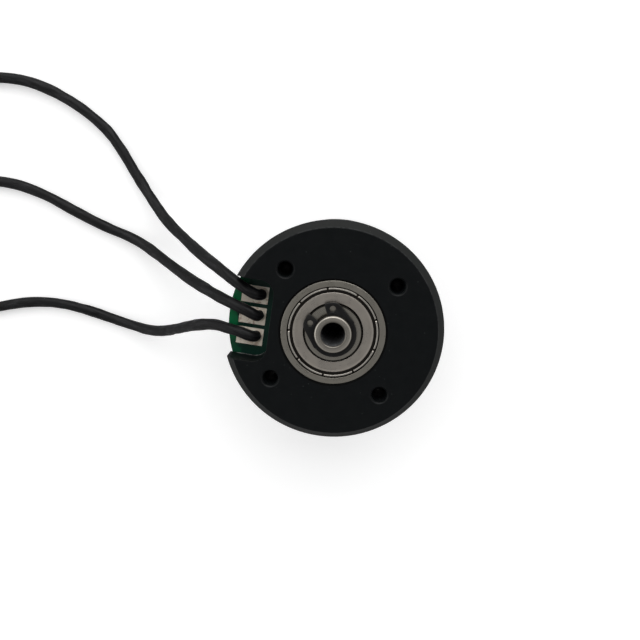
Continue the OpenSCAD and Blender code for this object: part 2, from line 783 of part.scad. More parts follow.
module grub_screws() {
    socket_depth = grub_l / 3;
    color([0.16, 0.16, 0.17]) for (turn = grub_turns) {
        rotate([0, 0, turn]) translate([shaft_r - flat_depth, 0, grub_z]) rotate([0, 90, 0]) difference() {
            cylinder(h = grub_l, d = grub_d);
            translate([0, 0, grub_l - socket_depth]) {
                cylinder(h = socket_depth + overrun, d = grub_key / cos(30), $fn = 6);
            }
        }
    }
}

base_plate();
rear_bearing_outer_ring();
rear_bearing_inner_ring();
rear_bearing_shields();
rear_bearing_balls();
rear_bearing_cage();
front_bearing_outer_ring();
front_bearing_inner_ring();
front_bearing_shields();
front_bearing_balls();
front_bearing_cage();
wave_washer();
stator_core();
end_insulators();
coils_phase_u();
coils_phase_v();
coils_phase_w();
winding_tails();
connection_board();
solder_pads();
solder_joints();
lead_u();
lead_v();
lead_w();
lead_strands();
shaft();
circlip();
spacer_tube();
hub_washer();
flux_ring();
magnets();
bell();
grub_screws();
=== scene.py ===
"""Looks of an underwater thruster motor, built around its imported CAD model.

Lengths in the classes are in millimetres and angles in degrees, unless a docstring says otherwise.
Form turns them into metres when it makes a mesh. The mounting face looks up along +Z at z = 0, the
shaft axis is the Z axis and the lead notch is on the -X side.
"""

import json
import logging
from dataclasses import dataclass, field
from enum import Enum

import bmesh
import bpy
import numpy as np
from mathutils import Matrix
from mathutils.geometry import tessellate_polygon


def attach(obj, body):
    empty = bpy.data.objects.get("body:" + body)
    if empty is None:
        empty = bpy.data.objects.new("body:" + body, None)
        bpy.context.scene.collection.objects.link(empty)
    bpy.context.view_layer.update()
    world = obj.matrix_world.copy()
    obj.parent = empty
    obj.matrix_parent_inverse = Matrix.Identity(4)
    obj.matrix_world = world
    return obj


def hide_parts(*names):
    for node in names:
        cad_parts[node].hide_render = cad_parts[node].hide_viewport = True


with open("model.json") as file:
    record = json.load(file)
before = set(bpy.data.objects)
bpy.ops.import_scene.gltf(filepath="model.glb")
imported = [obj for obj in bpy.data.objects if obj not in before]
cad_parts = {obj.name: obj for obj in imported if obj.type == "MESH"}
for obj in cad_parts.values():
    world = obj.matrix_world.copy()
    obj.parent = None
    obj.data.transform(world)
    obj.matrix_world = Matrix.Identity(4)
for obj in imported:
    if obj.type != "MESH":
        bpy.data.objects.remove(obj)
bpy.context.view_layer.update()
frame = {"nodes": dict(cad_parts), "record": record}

MM = 0.001
LOG = logging.getLogger("thruster_motor")
Pair = tuple[float, float]
Colour = tuple[float, float, float]
Point = tuple[float, float, float]
Socket = bpy.types.NodeSocket

GRID_MERGE = 2e-7  # metres within which the corners of a grid merge
CAD_MERGE = 2e-6  # metres within which the loose corners of a CAD mesh merge
FLAT_ANGLE = 0.6  # degrees up to which CAD triangles become one face
EDGE_ANGLE = 30.0  # degrees from which an edge of a CAD piece is rounded
LEVEL = 0.99999  # upward part of a normal past which a triangle counts as level
AXIS_R = 0.001  # radius at which a turned surface ends beside its axis


# Meshes


def circle(steps: int) -> np.ndarray:
    """Angles of one full turn, in radians, without the last one."""
    return np.linspace(0.0, 2.0 * np.pi, steps, endpoint=False)


def polar(radius: np.ndarray | float, angles: np.ndarray | float) -> np.ndarray:
    """Points (radius cos a, radius sin a), with the angles in radians."""
    return np.stack([radius * np.cos(angles), radius * np.sin(angles)], axis=-1)


def unit(vectors: np.ndarray) -> np.ndarray:
    """Vectors of length one, along the last axis."""
    return vectors / np.linalg.norm(vectors, axis=-1, keepdims=True)


def turned(points: np.ndarray, degrees: float) -> np.ndarray:
    """Points turned about the Z axis."""
    a = np.radians(degrees)
    return points @ np.array([[np.cos(a), np.sin(a), 0], [-np.sin(a), np.cos(a), 0], [0, 0, 1]])


def bend(start: np.ndarray, corner: np.ndarray, end: np.ndarray, steps: int) -> np.ndarray:
    """Curve (1-t)^2 start + 2t(1-t) corner + t^2 end, which rounds a corner.

    Args:
        start: Where the curve leaves one side: a point, or a row for each of several corners.
        corner: The corner, or a row for each.
        end: Where the curve joins the other side.
        steps: Points on the curve.

    Returns:
        The curve's points, along a new second last axis.
    """
    t = np.linspace(0.0, 1.0, steps)[:, None]
    start, corner, end = (p[..., None, :] for p in (start, corner, end))
    return (1 - t) ** 2 * start + 2 * t * (1 - t) * corner + t ** 2 * end


def rounded_loop(corners: np.ndarray, radii: np.ndarray | float, steps: int = 5) -> np.ndarray:
    """Rounds the corners of a closed line, from its radius before each corner to its radius after it.

    Args:
        corners: Corner points, one row each.
        radii: Rounding length at each corner.
        steps: Points on each rounded corner.

    Returns:
        The points of the rounded line, one row each.
    """
    corners = np.asarray(corners, float)
    size = np.broadcast_to(np.asarray(radii, float), (len(corners),))[:, None]
    before, after = np.roll(corners, 1, 0) - corners, np.roll(corners, -1, 0) - corners
    start = corners + size * before / np.linalg.norm(before, axis=1, keepdims=True)
    end = corners + size * after / np.linalg.norm(after, axis=1, keepdims=True)
    return bend(start, corners, end, steps).reshape(-1, corners.shape[1])


def with_middles(loop: np.ndarray) -> np.ndarray:
    """The closed line with the middle of each of its sides added."""
    return np.stack([loop, (loop + np.roll(loop, -1, 0)) / 2], axis=1).reshape(-1, 2)


def through(points: np.ndarray, per_span: int) -> np.ndarray:
    """Smooth line through points: the Catmull-Rom cubic of each four neighbours, as one array.

    Args:
        points: Points to pass through, one row each.
        per_span: Points made on each span.

    Returns:
        The line's points, one row each.
    """
    ends = np.vstack([2 * points[0] - points[1], points, 2 * points[-1] - points[-2]])
    a, b, c, d = (ends[i:len(ends) - 3 + i, None] for i in range(4))
    t = np.linspace(0.0, 1.0, per_span, endpoint=False)[None, :, None]
    bow, twist = 2 * a - 5 * b + 4 * c - d, 3 * b - a - 3 * c + d
    line = 0.5 * (2 * b + (c - a) * t + bow * t ** 2 + twist * t ** 3)
    return np.vstack([line.reshape(-1, 3), points[-1]])


def sweep(path: np.ndarray, section: np.ndarray, reference: Point) -> np.ndarray:
    """Grid of a section carried along a path: path + section[0] * n + section[1] * (t x n).

    t is the path's direction and n is the reference direction made square to it.

    Args:
        path: Points of the path, one row each.
        section: Points (m, 2) of the section, or (n, m, 2) with a section for each point of the path.
        reference: A direction that the path never follows.

    Returns:
        An array (n, m, 3).
    """
    along = unit(np.gradient(path, axis=0))
    side = np.broadcast_to(np.asarray(reference, float), along.shape)
    side = unit(side - (side * along).sum(1, keepdims=True) * along)
    across = np.cross(along, side)
    section = np.broadcast_to(section, (len(path),) + section.shape[-2:])
    return path[:, None] + section[..., :1] * side[:, None] + section[..., 1:] * across[:, None]


def revolve(radius: np.ndarray, height: np.ndarray, angles: np.ndarray) -> np.ndarray:
    """Grid (radius cos a, radius sin a, height) about the Z axis.

    Args:
        radius: One number for each row, or an array (n, m).
        height: The same for the height.
        angles: The m angles, in radians.

    Returns:
        An array (n, m, 3).
    """
    table = [v if v.ndim > 1 else v[:, None] for v in (np.asarray(radius), np.asarray(height))]
    radius, height, _ = np.broadcast_arrays(*table, angles[None])
    return np.concatenate([polar(radius, angles), height[..., None]], axis=-1)


class Form:
    """Vertices and faces gathered from grids of points, made into one mesh."""

    def __init__(self) -> None:
        """Starts with no vertices."""
        self.points: list[np.ndarray] = []
        self.faces: list[np.ndarray] = []
        self.lay: list[np.ndarray] = []
        self.count = 0

    def _take(self, points: np.ndarray, lay: np.ndarray | None) -> None:
        """Adds vertices, whose lay is their place where none is given.

        Args:
            points: Points, with x, y and z along the last axis.
            lay: An array like points, or None.
        """
        self.points.append(points.reshape(-1, 3))
        self.lay.append(points.reshape(-1, 3) if lay is None else lay.reshape(-1, 3))
        self.count += len(self.points[-1])

    def grid(self, points: np.ndarray, wrap: tuple[bool, bool] = (False, False), caps: bool = False,
             lay: np.ndarray | None = None) -> "Form":
        """Adds a grid of points as four-sided faces.

        Args:
            points: An array (n, m, 3).
            wrap: Whether the last row, and the last column, joins the first.
            caps: Whether the first and the last row are closed by fans to their middles.
            lay: An array like points that the material reads as the lay of the surface.

        Returns:
            This form, for the next call.
        """
        rows, columns = points.shape[:2]
        index = np.arange(rows * columns).reshape(rows, columns) + self.count
        self._take(points, lay)
        index = np.vstack([index, index[:1]]) if wrap[0] else index
        index = np.hstack([index, index[:, :1]]) if wrap[1] else index
        quads = np.stack([index[:-1, :-1], index[1:, :-1], index[1:, 1:], index[:-1, 1:]], axis=-1)
        self.faces.append(quads.reshape(-1, 4))
        for row, ring in ((0, index[0]), (-1, index[-1][::-1])) if caps else ():
            middle = np.full(len(ring) - 1, self.count)
            self._take(points[row].mean(0), None if lay is None else lay[row].mean(0))
            self.faces.append(np.stack([ring[:-1], ring[1:], middle], axis=-1))
        return self

    def slab(self, loops: list[np.ndarray], profile: np.ndarray) -> "Form":
        """Adds a flat piece with holes: a wall along each loop, moved in by the profile, and two flat faces.

        Each loop's point p becomes p + inset * n, where n is the loop's normal toward the material.

        Args:
            loops: The outline, anticlockwise, and then the holes, clockwise, as rows of x and y.
            profile: Rows of inset and height, from the lower face to the upper one.

        Returns:
            This form, for the next call.
        """
        walls = []
        for loop in loops:
            run = unit(np.roll(loop, -1, 0) - np.roll(loop, 1, 0))
            moved = loop[None] + profile[:, :1, None] * np.stack([-run[:, 1], run[:, 0]], axis=-1)
            height = np.broadcast_to(profile[:, 1:, None], moved.shape[:2] + (1,))
            walls.append(np.concatenate([moved, height], axis=-1))
            self.grid(walls[-1], wrap=(False, True))
        for level in (0, -1):
            rims = [wall[level] for wall in walls]
            corners = np.array(tessellate_polygon([rim.tolist() for rim in rims])) + self.count
            self._take(np.concatenate(rims), None)
            self.faces.append(corners)
        return self

    def piece(self, name: str, smooth: float = 35.0) -> bpy.types.Object:
        """Makes the object, in metres, with its doubles merged and its faces outward.

        Args:
            name: The piece's name.
            smooth: Edges sharper than this many degrees stay sharp.

        Returns:
            The new object, at the origin.
        """
        mesh = bpy.data.meshes.new(name)
        totals = np.concatenate([np.full(len(f), f.shape[1]) for f in self.faces])
        mesh.vertices.add(self.count)
        mesh.vertices.foreach_set("co", (np.concatenate(self.points) * MM).astype(np.float32).ravel())
        mesh.loops.add(int(totals.sum()))
        mesh.loops.foreach_set("vertex_index", np.concatenate([f.ravel() for f in self.faces]))
        mesh.polygons.add(len(totals))
        mesh.polygons.foreach_set("loop_start", np.concatenate([[0], np.cumsum(totals)[:-1]]))
        mesh.polygons.foreach_set("loop_total", totals)
        mesh.update(calc_edges=True)
        lay = mesh.attributes.new("lay", "FLOAT_VECTOR", "POINT")
        lay.data.foreach_set("vector", np.concatenate(self.lay).astype(np.float32).ravel())
        merge_and_turn_out(mesh, GRID_MERGE)
        piece = bpy.data.objects.new(name, mesh)
        bpy.context.scene.collection.objects.link(piece)
        shade(mesh, smooth)
        return piece


def merge_and_turn_out(mesh: bpy.types.Mesh, reach: float, flat: float = 0.0) -> None:
    """Merges doubles, turns faces outward and joins faces that lie in one plane.

    Args:
        mesh: The mesh to change.
        reach: Distance in metres within which vertices merge.
        flat: Angle in degrees up to which neighbouring faces are joined, or 0 to join none.
    """
    work = bmesh.new()
    work.from_mesh(mesh)
    bmesh.ops.remove_doubles(work, verts=work.verts, dist=reach)
    if flat:
        bmesh.ops.dissolve_limit(work, angle_limit=np.radians(flat), verts=work.verts, edges=work.edges)
    bmesh.ops.recalc_face_normals(work, faces=work.faces)
    work.to_mesh(mesh)
    work.free()


def shade(mesh: bpy.types.Mesh, smooth: float) -> None:
    """Shades a mesh smooth, but for its level triangles.

    Args:
        mesh: The mesh to shade.
        smooth: Edges sharper than this many degrees stay sharp.
    """
    normals = np.empty(3 * len(mesh.polygons), np.float32)
    sides = np.empty(len(mesh.polygons), np.int32)
    mesh.polygons.foreach_get("normal", normals)
    mesh.polygons.foreach_get("loop_total", sides)
    mesh.polygons.foreach_set("use_smooth", (np.abs(normals[2::3]) < LEVEL) | (sides != 3))
    mesh.set_sharp_from_angle(angle=np.radians(smooth))
    mesh.update()


def eased(node: str, name: str, width: float, segments: int = 2) -> bpy.types.Object:
    """Copy of a CAD node with its edges rounded as a tool or a tumbler leaves them.

    Args:
        node: The CAD node.
        name: The new piece's name.
        width: Width of the rounding, in millimetres.
        segments: Faces across the rounding.

    Returns:
        The new object, at the origin.
    """
    mesh = frame["nodes"][node].data.copy()
    mesh.name = name
    mesh.materials.clear()
    if mesh.attributes.get("custom_normal"):
        mesh.attributes.remove(mesh.attributes["custom_normal"])
    merge_and_turn_out(mesh, CAD_MERGE, FLAT_ANGLE)
    piece = bpy.data.objects.new(name, mesh)
    bpy.context.scene.collection.objects.link(piece)
    shade(mesh, EDGE_ANGLE)
    bevel = piece.modifiers.new("edges", "BEVEL")
    bevel.width = width * MM
    bevel.segments = segments
    bevel.limit_method = "ANGLE"
    bevel.angle_limit = np.radians(EDGE_ANGLE)
    bevel.harden_normals = True
    return piece


# Materials


class Nodes:
    """A node tree, with short calls for adding to it."""

    def __init__(self, tree: bpy.types.NodeTree) -> None:
        """Takes the tree that it adds to."""
        self.tree = tree

    def add(self, kind: str, inputs: dict | None = None, **settings: object) -> bpy.types.Node:
        """Adds a node.

        Args:
            kind: The node's type.
            inputs: What goes into its sockets: another node's output, or a value.
            **settings: The node's own settings.

        Returns:
            The node.
        """
        node = self.tree.nodes.new(kind)
        for key, value in settings.items():
            setattr(node, key, value)
        for key, value in (inputs or {}).items():
            self.plug(node.inputs[key], value)
        return node

    def plug(self, socket: Socket, value: object) -> None:
        """Links an output to a socket, or sets the socket's value.

        Args:
            socket: The input.
            value: Another node's output, or a value.
        """
        if isinstance(value, Socket):
            self.tree.links.new(value, socket)
        else:
            socket.default_value = value

    def math(self, operation: str, *values: object) -> Socket:
        """Result of one sum, product or other operation."""
        return self.add("ShaderNodeMath", dict(enumerate(values)), operation=operation).outputs[0]

    def times(self, first: object, *others: object) -> Socket:
        """Product of several values.

        Args:
            first: The first value.
            *others: The others.

        Returns:
            The product.
        """
        for other in others:
            first = self.math("MULTIPLY", first, other)
        return first


class Paint(Nodes):
    """The node tree of one material, with short calls for what the finishes use."""

    def __init__(self, name: str) -> None:
        """Starts a material with a plain shader.

        Args:
            name: The material's name.
        """
        self.material = bpy.data.materials.new(name)
        self.material.use_nodes = True
        super().__init__(self.material.node_tree)
        self.tree.nodes.clear()
        self.skin = self.add("ShaderNodeBsdfPrincipled")
        self.add("ShaderNodeOutputMaterial", {0: self.skin.outputs[0]})

    def place(self, scale: Point = (1.0, 1.0, 1.0), turn: float = 0.0) -> Socket:
        """Object coordinates in millimetres, turned about Z in radians after they are scaled.

        Args:
            scale: Factor along each axis.
            turn: Angle of the turn.

        Returns:
            The coordinates.
        """
        spot = self.add("ShaderNodeTexCoord").outputs["Object"]
        size = tuple(v / MM for v in scale)
        sockets = {"Vector": spot, "Rotation": (0.0, 0.0, turn), "Scale": size}
        return self.add("ShaderNodeMapping", sockets).outputs[0]

    def axes(self) -> tuple[Socket, Socket, Socket]:
        """X, Y and Z of the Object coordinates, in millimetres."""
        return tuple(self.add("ShaderNodeSeparateXYZ", {0: self.place()}).outputs)

    def lay(self, scale: Point = (1.0, 1.0, 1.0)) -> Socket:
        """The piece's own lay attribute in millimetres, times the scale."""
        spot = self.add("ShaderNodeAttribute", attribute_name="lay").outputs["Vector"]
        return self.add("ShaderNodeMapping", {"Vector": spot, "Scale": scale}).outputs[0]

    def radius(self) -> Socket:
        """Distance from the Z axis in millimetres."""
        flat = self.place((1.0, 1.0, 0.0))
        return self.add("ShaderNodeVectorMath", {0: flat}, operation="LENGTH").outputs["Value"]

    def round_lines(self, fine: float, around: float) -> Socket:
        """Coordinates in which noise becomes rings: (around cos a, around sin a, fine (r + z)).

        Args:
            fine: Rings to a millimetre.
            around: How many marks the rings have round a turn.

        Returns:
            The coordinates.
        """
        radius, (x, y, z) = self.radius(), self.axes()
        safe = self.math("MAXIMUM", radius, 0.01)
        rim = [self.times(self.math("DIVIDE", v, safe), around) for v in (x, y)]
        rise = self.times(self.math("ADD", radius, z), fine)
        return self.add("ShaderNodeCombineXYZ", dict(enumerate((*rim, rise)))).outputs[0]

    def noise(self, spot: Socket, scale: float, detail: float = 3.0, rough: float = 0.5) -> Socket:
        """Noise from 0 to 1."""
        sockets = {"Vector": spot, "Scale": scale, "Detail": detail, "Roughness": rough}
        return self.add("ShaderNodeTexNoise", sockets).outputs[0]

    def between(self, value: object, low: float, high: float, start: float = 0.0, end: float = 1.0) -> Socket:
        """The value from low to high, mapped smoothly from start to end."""
        sockets = {"Value": value, "From Min": low, "From Max": high, "To Min": start, "To Max": end}
        return self.add("ShaderNodeMapRange", sockets, interpolation_type="SMOOTHSTEP").outputs[0]

    def band(self, value: Socket, middle: float, half: float) -> Socket:
        """One at the middle value, falling to nothing half a width away."""
        off = self.math("ABSOLUTE", self.math("SUBTRACT", value, middle))
        return self.between(off, 0.0, half, 1.0, 0.0)

    def mix(self, share: object, a: object, b: object) -> Socket:
        """Colour a blended into colour b by the share."""
        a, b = ((*c, 1.0) if isinstance(c, tuple) else c for c in (a, b))
        return self.add("ShaderNodeMix", {0: share, 6: a, 7: b}, data_type="RGBA").outputs[2]

    def layers(self, colour: object, *coats: tuple[object, object]) -> Socket:
        """Blends other colours over a colour, one after the other.

        Args:
            colour: The colour below.
            *coats: Share and colour of each coat, in order.

        Returns:
            The colour that results.
        """
        for share, coat in coats:
            colour = self.mix(share, colour, coat)
        return colour

    def bump(self, height: object, depth: float, strength: float = 1.0) -> None:
        """Adds relief to the surface.

        Args:
            height: The relief, from 0 to 1.
            depth: Its depth in millimetres.
            strength: How far it tilts the shading.
        """
        normal = self.skin.inputs["Normal"]
        inputs = {"Height": height, "Distance": depth * MM, "Strength": strength}
        if normal.is_linked:
            inputs["Normal"] = normal.links[0].from_socket
        self.plug(normal, self.add("ShaderNodeBump", inputs).outputs[0])


class Grain(Enum):
    """How a surface was made, which sets the run of its marks."""

    TURNED = "turned"
    GROUND = "ground"
    CAST = "cast"
    LAMINATED = "laminated"
    ALONG = "along"


@dataclass(frozen=True)
class Finish:
    """A surface with its colour, gloss and the marks of its making.

    Attributes:
        name: Material name, the same as the record's slot.
        colour: Main colour.
        second: Colour that the main one drifts to.
        roughness: Mean roughness.
        fine: Marks to a millimetre.
        relief: Depth of the marks in millimetres.
        metallic: Share of metal in the shader.
        spread: How far the roughness drifts.
        grain: Run of the marks.
        gloss: Specular level.
        coat: Weight of a clear coat.
        coat_roughness: Roughness of that coat.
        drift: Noise to a millimetre of the colour's drift.
        drift_share: How much of the drift is that noise. The marks are the rest.
        usual: The levels between which noise mostly lies.
        full: The shares of drift at which the roughness is at its least and at its most.
    """

    name: str
    colour: Colour
    second: Colour
    roughness: float
    fine: float
    relief: float
    metallic: float = 1.0
    spread: float = 0.08
    grain: Grain = Grain.CAST
    gloss: float = 0.5
    coat: float = 0.0
    coat_roughness: float = 0.15
    drift: float = 0.35
    drift_share: float = 0.65
    usual: Pair = (0.3, 0.7)
    full: Pair = (0.1, 0.9)

    def marks(self, paint: Paint) -> Socket:
        """The marks of the making, in coordinates that follow the grain.

        Args:
            paint: The material's tree.

        Returns:
            Noise from 0 to 1.
        """
        if self.grain is Grain.TURNED:
            return paint.noise(paint.round_lines(self.fine, 1.5), 1.0, 3.0, 0.6)
        if self.grain is Grain.GROUND:
            return paint.noise(paint.round_lines(self.fine, 9.0), 1.0, 3.0, 0.6)
        if self.grain is Grain.LAMINATED:
            return paint.noise(paint.place((0.3, 0.3, self.fine)), 1.0, 2.0)
        if self.grain is Grain.ALONG:
            return paint.noise(paint.lay((0.15 * self.fine, self.fine, self.fine)), 1.0, 4.0, 0.6)
        return paint.noise(paint.place(), self.fine, 4.0, 0.6)

    def extras(self, paint: Paint, colour: Socket) -> Socket:
        """What a special finish adds to the colour."""
        return colour

    def dulled(self, paint: Paint, roughness: Socket) -> Socket:
        """What a special finish does to the roughness."""
        return roughness

    def material(self) -> bpy.types.Material:
        """Builds the material.

        Returns:
            The material.
        """
        paint = Paint(self.name)
        marks = self.marks(paint)
        noise = paint.noise(paint.place(), self.drift, 4.0, 0.6)
        share = paint.math("ADD", paint.between(noise, *self.usual, 0.0, self.drift_share),
                           paint.between(marks, *self.usual, 0.0, 1.0 - self.drift_share))
        ends = self.roughness - self.spread, self.roughness + self.spread
        skin = paint.skin.inputs
        for key, value in (("Base Color", self.extras(paint, paint.mix(share, self.colour, self.second))),
                           ("Roughness", self.dulled(paint, paint.between(share, *self.full, *ends))),
                           ("Specular IOR Level", self.gloss), ("Coat Weight", self.coat),
                           ("Coat Roughness", self.coat_roughness)):
            paint.plug(skin[key], value)
        skin["Metallic"].default_value = self.metallic
        paint.bump(marks, self.relief)
        return paint.material


@dataclass(frozen=True)
class AnodisedFinish(Finish):
    """Black anodised aluminium with dust and fine scratches, a chamfer painted paler as a highlight, a
    chamfer edge that is rubbed and also has a painted highlight, a painted highlight along the foot of the
    notch's -Y wall, and painted shade in the mouth of the bearing's seat.

    Attributes:
        chamfer_r: Radius in millimetres where the plate's chamfer begins.
        chamfer_w: Its width.
        chamfer_z: Height where it ends.
        foot_z: Middle height of the strip of painted highlight at the foot of the notch's -Y wall.
        foot_half: Half height of that strip.
        foot_y: Between these two the strip fades toward the notch's middle.
        seat_r: Radius of the mouth of the bearing's seat, inside which the surface is rough and painted black
            as shade in the gap round the bearing.
        cut: Colour of the chamfer, painted paler than the face as a highlight.
        rubbed: Colour of its edge, which is rubbed and also has a painted highlight.
        foot_highlight: Colour of the painted highlight at the foot.
        dust: Colour of specks of dust.
        hair: Colour of the scratches.
        painted_seat_shade: Colour of the painted shade in the seat's mouth.
        runs: Direction in radians and fineness of each set of scratches.
    """

    chamfer_r: float = 0.0
    chamfer_w: float = 1.0
    chamfer_z: float = 0.0
    foot_z: float = 0.0
    foot_half: float = 1.0
    foot_y: Pair = (-7.0, -6.0)
    seat_r: float = 0.0
    cut: Colour = (0.0135, 0.0144, 0.0140)
    rubbed: Colour = (0.06, 0.064, 0.064)
    foot_highlight: Colour = (0.36, 0.36, 0.35)
    dust: Colour = (0.08, 0.095, 0.09)
    hair: Colour = (0.035, 0.04, 0.04)
    painted_seat_shade: Colour = (0.0004, 0.0005, 0.0005)
    runs: tuple[Pair, ...] = ((0.6, 1.0), (2.1, 0.8))

    def extras(self, paint: Paint, colour: Socket) -> Socket:
        """Adds the chamfer's paler painted highlight, the rubbed edge with its painted highlight, the painted
        highlight at the foot, dust, scratches and the painted shade in the seat's mouth.

        Args:
            paint: The material's tree.
            colour: The colour so far.

        Returns:
            The colour with them.
        """
        patchy = paint.between(paint.noise(paint.place(), 1.1, 3.0), 0.4, 0.56)
        past = paint.math("SUBTRACT", paint.radius(), self.chamfer_r)
        above = self.above(paint, past)
        # Paler colour painted on the chamfer as a highlight.
        chamfer = paint.times(paint.between(past, 0.1, 0.15), above)
        # The chamfer's inner edge: rubbed wear, with a painted highlight.
        edge = paint.times(paint.band(past, 0.1, 0.12), above, patchy, 0.35)
        scratches = [(paint.times(self.scratch(paint, *run), patchy, 0.12), self.hair) for run in self.runs]
        # The foot strip is a painted highlight, and the seat's mouth gets painted shade.
        return paint.layers(colour, (chamfer, self.cut), (edge, self.rubbed),
                            (paint.times(self.foot(paint, past), patchy), self.foot_highlight),
                            (self.specks(paint), self.dust), *scratches, (self.seat(paint), self.painted_seat_shade))

    def above(self, paint: Paint, past: Socket) -> Socket:
        """One on and above the chamfer's surface z = chamfer_z * past / chamfer_w, and nothing below it."""
        surface = paint.times(past, self.chamfer_z / self.chamfer_w)
        return paint.between(paint.math("SUBTRACT", paint.axes()[2], surface), -0.1, -0.05)

    def foot(self, paint: Paint, past: Socket) -> Socket:
        """One at the foot of the notch's -Y wall, inside the chamfer, where a highlight is painted.

        Args:
            paint: The material's tree.
            past: Distance past the chamfer's inner edge.

        Returns:
            Its share, from 0 to 1.
        """
        _, y, z = paint.axes()
        inside = paint.between(past, 0.0, 0.5, 1.0, 0.0)
        return paint.times(paint.band(z, self.foot_z, self.foot_half), inside,
                           paint.between(y, *self.foot_y, 1.0, 0.0))

    def specks(self, paint: Paint) -> Socket:
        """Dust: small dots in the few cells whose random colour is high.

        Args:
            paint: The material's tree.

        Returns:
            Their share, from 0 to 1.
        """
        sockets = {"Vector": paint.place(), "Scale": 0.9, "Randomness": 1.0}
        cells = paint.add("ShaderNodeTexVoronoi", sockets).outputs
        chance = paint.add("ShaderNodeSeparateColor", {0: cells["Color"]}).outputs[0]
        dots = paint.between(cells["Distance"], 0.05, 0.09, 1.0, 0.0)
        return paint.times(dots, paint.between(chance, 0.76, 0.8), 0.5)

    def scratch(self, paint: Paint, turn: float, fine: float) -> Socket:
        """Hairlines: the middle level of a noise that is drawn out along one direction."""
        noise = paint.noise(paint.place((0.16 * fine, 5.0 * fine, 1.0), turn), 1.0, 2.0)
        return paint.band(noise, 0.5, 0.006)

    def seat(self, paint: Paint) -> Socket:
        """One inside the seat's mouth near the plate's face, where shade is painted, and nothing elsewhere.
        """
        # Painted shade in the gap round the bearing.
        near = paint.between(paint.radius(), self.seat_r, self.seat_r + 0.06, 1.0, 0.0)
        return paint.times(near, paint.between(paint.axes()[2], self.foot_z, self.foot_z + 1.0))

    def dulled(self, paint: Paint, roughness: Socket) -> Socket:
        """Makes the seat's mouth rough."""
        return paint.math("MAXIMUM", roughness, self.seat(paint))


@dataclass(frozen=True)
class BearingFinish(Finish):
    """Bearing steel with old oil and painted shade in its gaps and hollows, darker with depth below the open
    face, and a painted highlight on the shields' rims.

    The lay attribute's first number is the depth below the open face. Its last is 1 on a shield's
    rim, which gets a painted highlight, and -1 where it is under dust.

    Attributes:
        clean_to: Depth in millimetres where the oil and painted shade begin.
        dark_from: Depth where they are darkest.
        oil_and_shade: How much of the steel the oil and painted shade hide there.
        stain: Colour of the faint stains that follow the ring.
        polished: Colour of the painted highlight on a shield's rim.
        oil_and_shade_colour: Colour of the oil and the painted shade.
        dust: Colour of the dust.
    """

    clean_to: float = 0.02
    dark_from: float = 0.1
    oil_and_shade: float = 0.96
    stain: Colour = (0.25, 0.21, 0.17)
    polished: Colour = (0.56, 0.53, 0.48)
    oil_and_shade_colour: Colour = (0.008, 0.007, 0.006)
    dust: Colour = (0.058, 0.060, 0.062)

    def extras(self, paint: Paint, colour: Socket) -> Socket:
        """Adds stains, the painted highlight on the shields' rims, the oil with painted shade, and the dust,
        which isn't metal.

        Args:
            paint: The material's tree.
            colour: The colour so far.

        Returns:
            The colour with them.
        """
        depth, _, state = paint.add("ShaderNodeSeparateXYZ", {0: paint.lay()}).outputs
        rings = paint.noise(paint.round_lines(1.2, 3.0), 1.0, 3.0, 0.6)
        clean = paint.between(state, -1.0, 0.0)
        paint.plug(paint.skin.inputs["Metallic"], clean)
        # Painted highlight where the lay's last number is 1, then oil and painted shade that grow with depth.
        colour = paint.layers(colour, (paint.times(paint.between(rings, 0.5, 0.75), 0.22), self.stain),
                              (paint.between(state, 0.0, 1.0), self.polished),
                              (paint.between(depth, self.clean_to, self.dark_from, 0.0, self.oil_and_shade), self.oil_and_shade_colour))
        return paint.mix(clean, self.dust, colour)


@dataclass(frozen=True)
class BoardLacquer(Finish):
    """Green solder mask on a glass fibre board: brighter round the rim, over copper under the mask and as
    painted light, fading with painted shade toward the notch's walls, and dark elsewhere.

    Attributes:
        top: Height of the mask's surface.
        bottom: Height of the underside.
        lit_band_r: Radius beyond which copper lies under the mask and the board is painted lit.
        wander: How far the lit band's edge wanders, and how wide it fades.
        wall_shade_y: Between these distances from the X axis the lit band fades, as painted shade near the
            notch's walls.
        lit_copper: Colour of the lit band over the copper, partly painted light.
        core: Colour of the board's cut edge.
        skin_t: Depths below each face where the cut edge begins and is full.
    """

    top: float = 0.0
    bottom: float = 0.0
    lit_band_r: float = 0.0
    wander: float = 0.5
    wall_shade_y: Pair = (5.0, 6.6)
    lit_copper: Colour = (0.0015, 0.120, 0.040)
    core: Colour = (0.035, 0.05, 0.022)
    skin_t: Pair = (0.06, 0.1)

    def extras(self, paint: Paint, colour: Socket) -> Socket:
        """Adds the lit band over the copper, with painted light and painted shade, and the cut edge of the
        board.

        Args:
            paint: The material's tree.
            colour: The colour so far.

        Returns:
            The colour with them.
        """
        # Band round the rim: copper under the mask, painted lighter as light falling there.
        wander = paint.between(paint.noise(paint.place((1.0, 1.0, 0.0)), 0.5, 2.0), *self.usual,
                               -self.wander, self.wander)
        reach = paint.math("ADD", paint.radius(), wander)
        lit_copper = paint.between(reach, self.lit_band_r - self.wander, self.lit_band_r + self.wander)
        paint.bump(lit_copper, 0.04)
        _, y, z = paint.axes()
        # Painted shade: the band fades toward the notch's walls.
        lit_copper = paint.times(lit_copper, paint.between(paint.math("ABSOLUTE", y), *self.wall_shade_y, 1.0, 0.3))
        thin, thick = self.skin_t
        inside = paint.times(paint.between(z, self.bottom + thin, self.bottom + thick),
                             paint.between(z, self.top - thick, self.top - thin, 1.0, 0.0))
        return paint.layers(colour, (lit_copper, self.lit_copper), (inside, self.core))


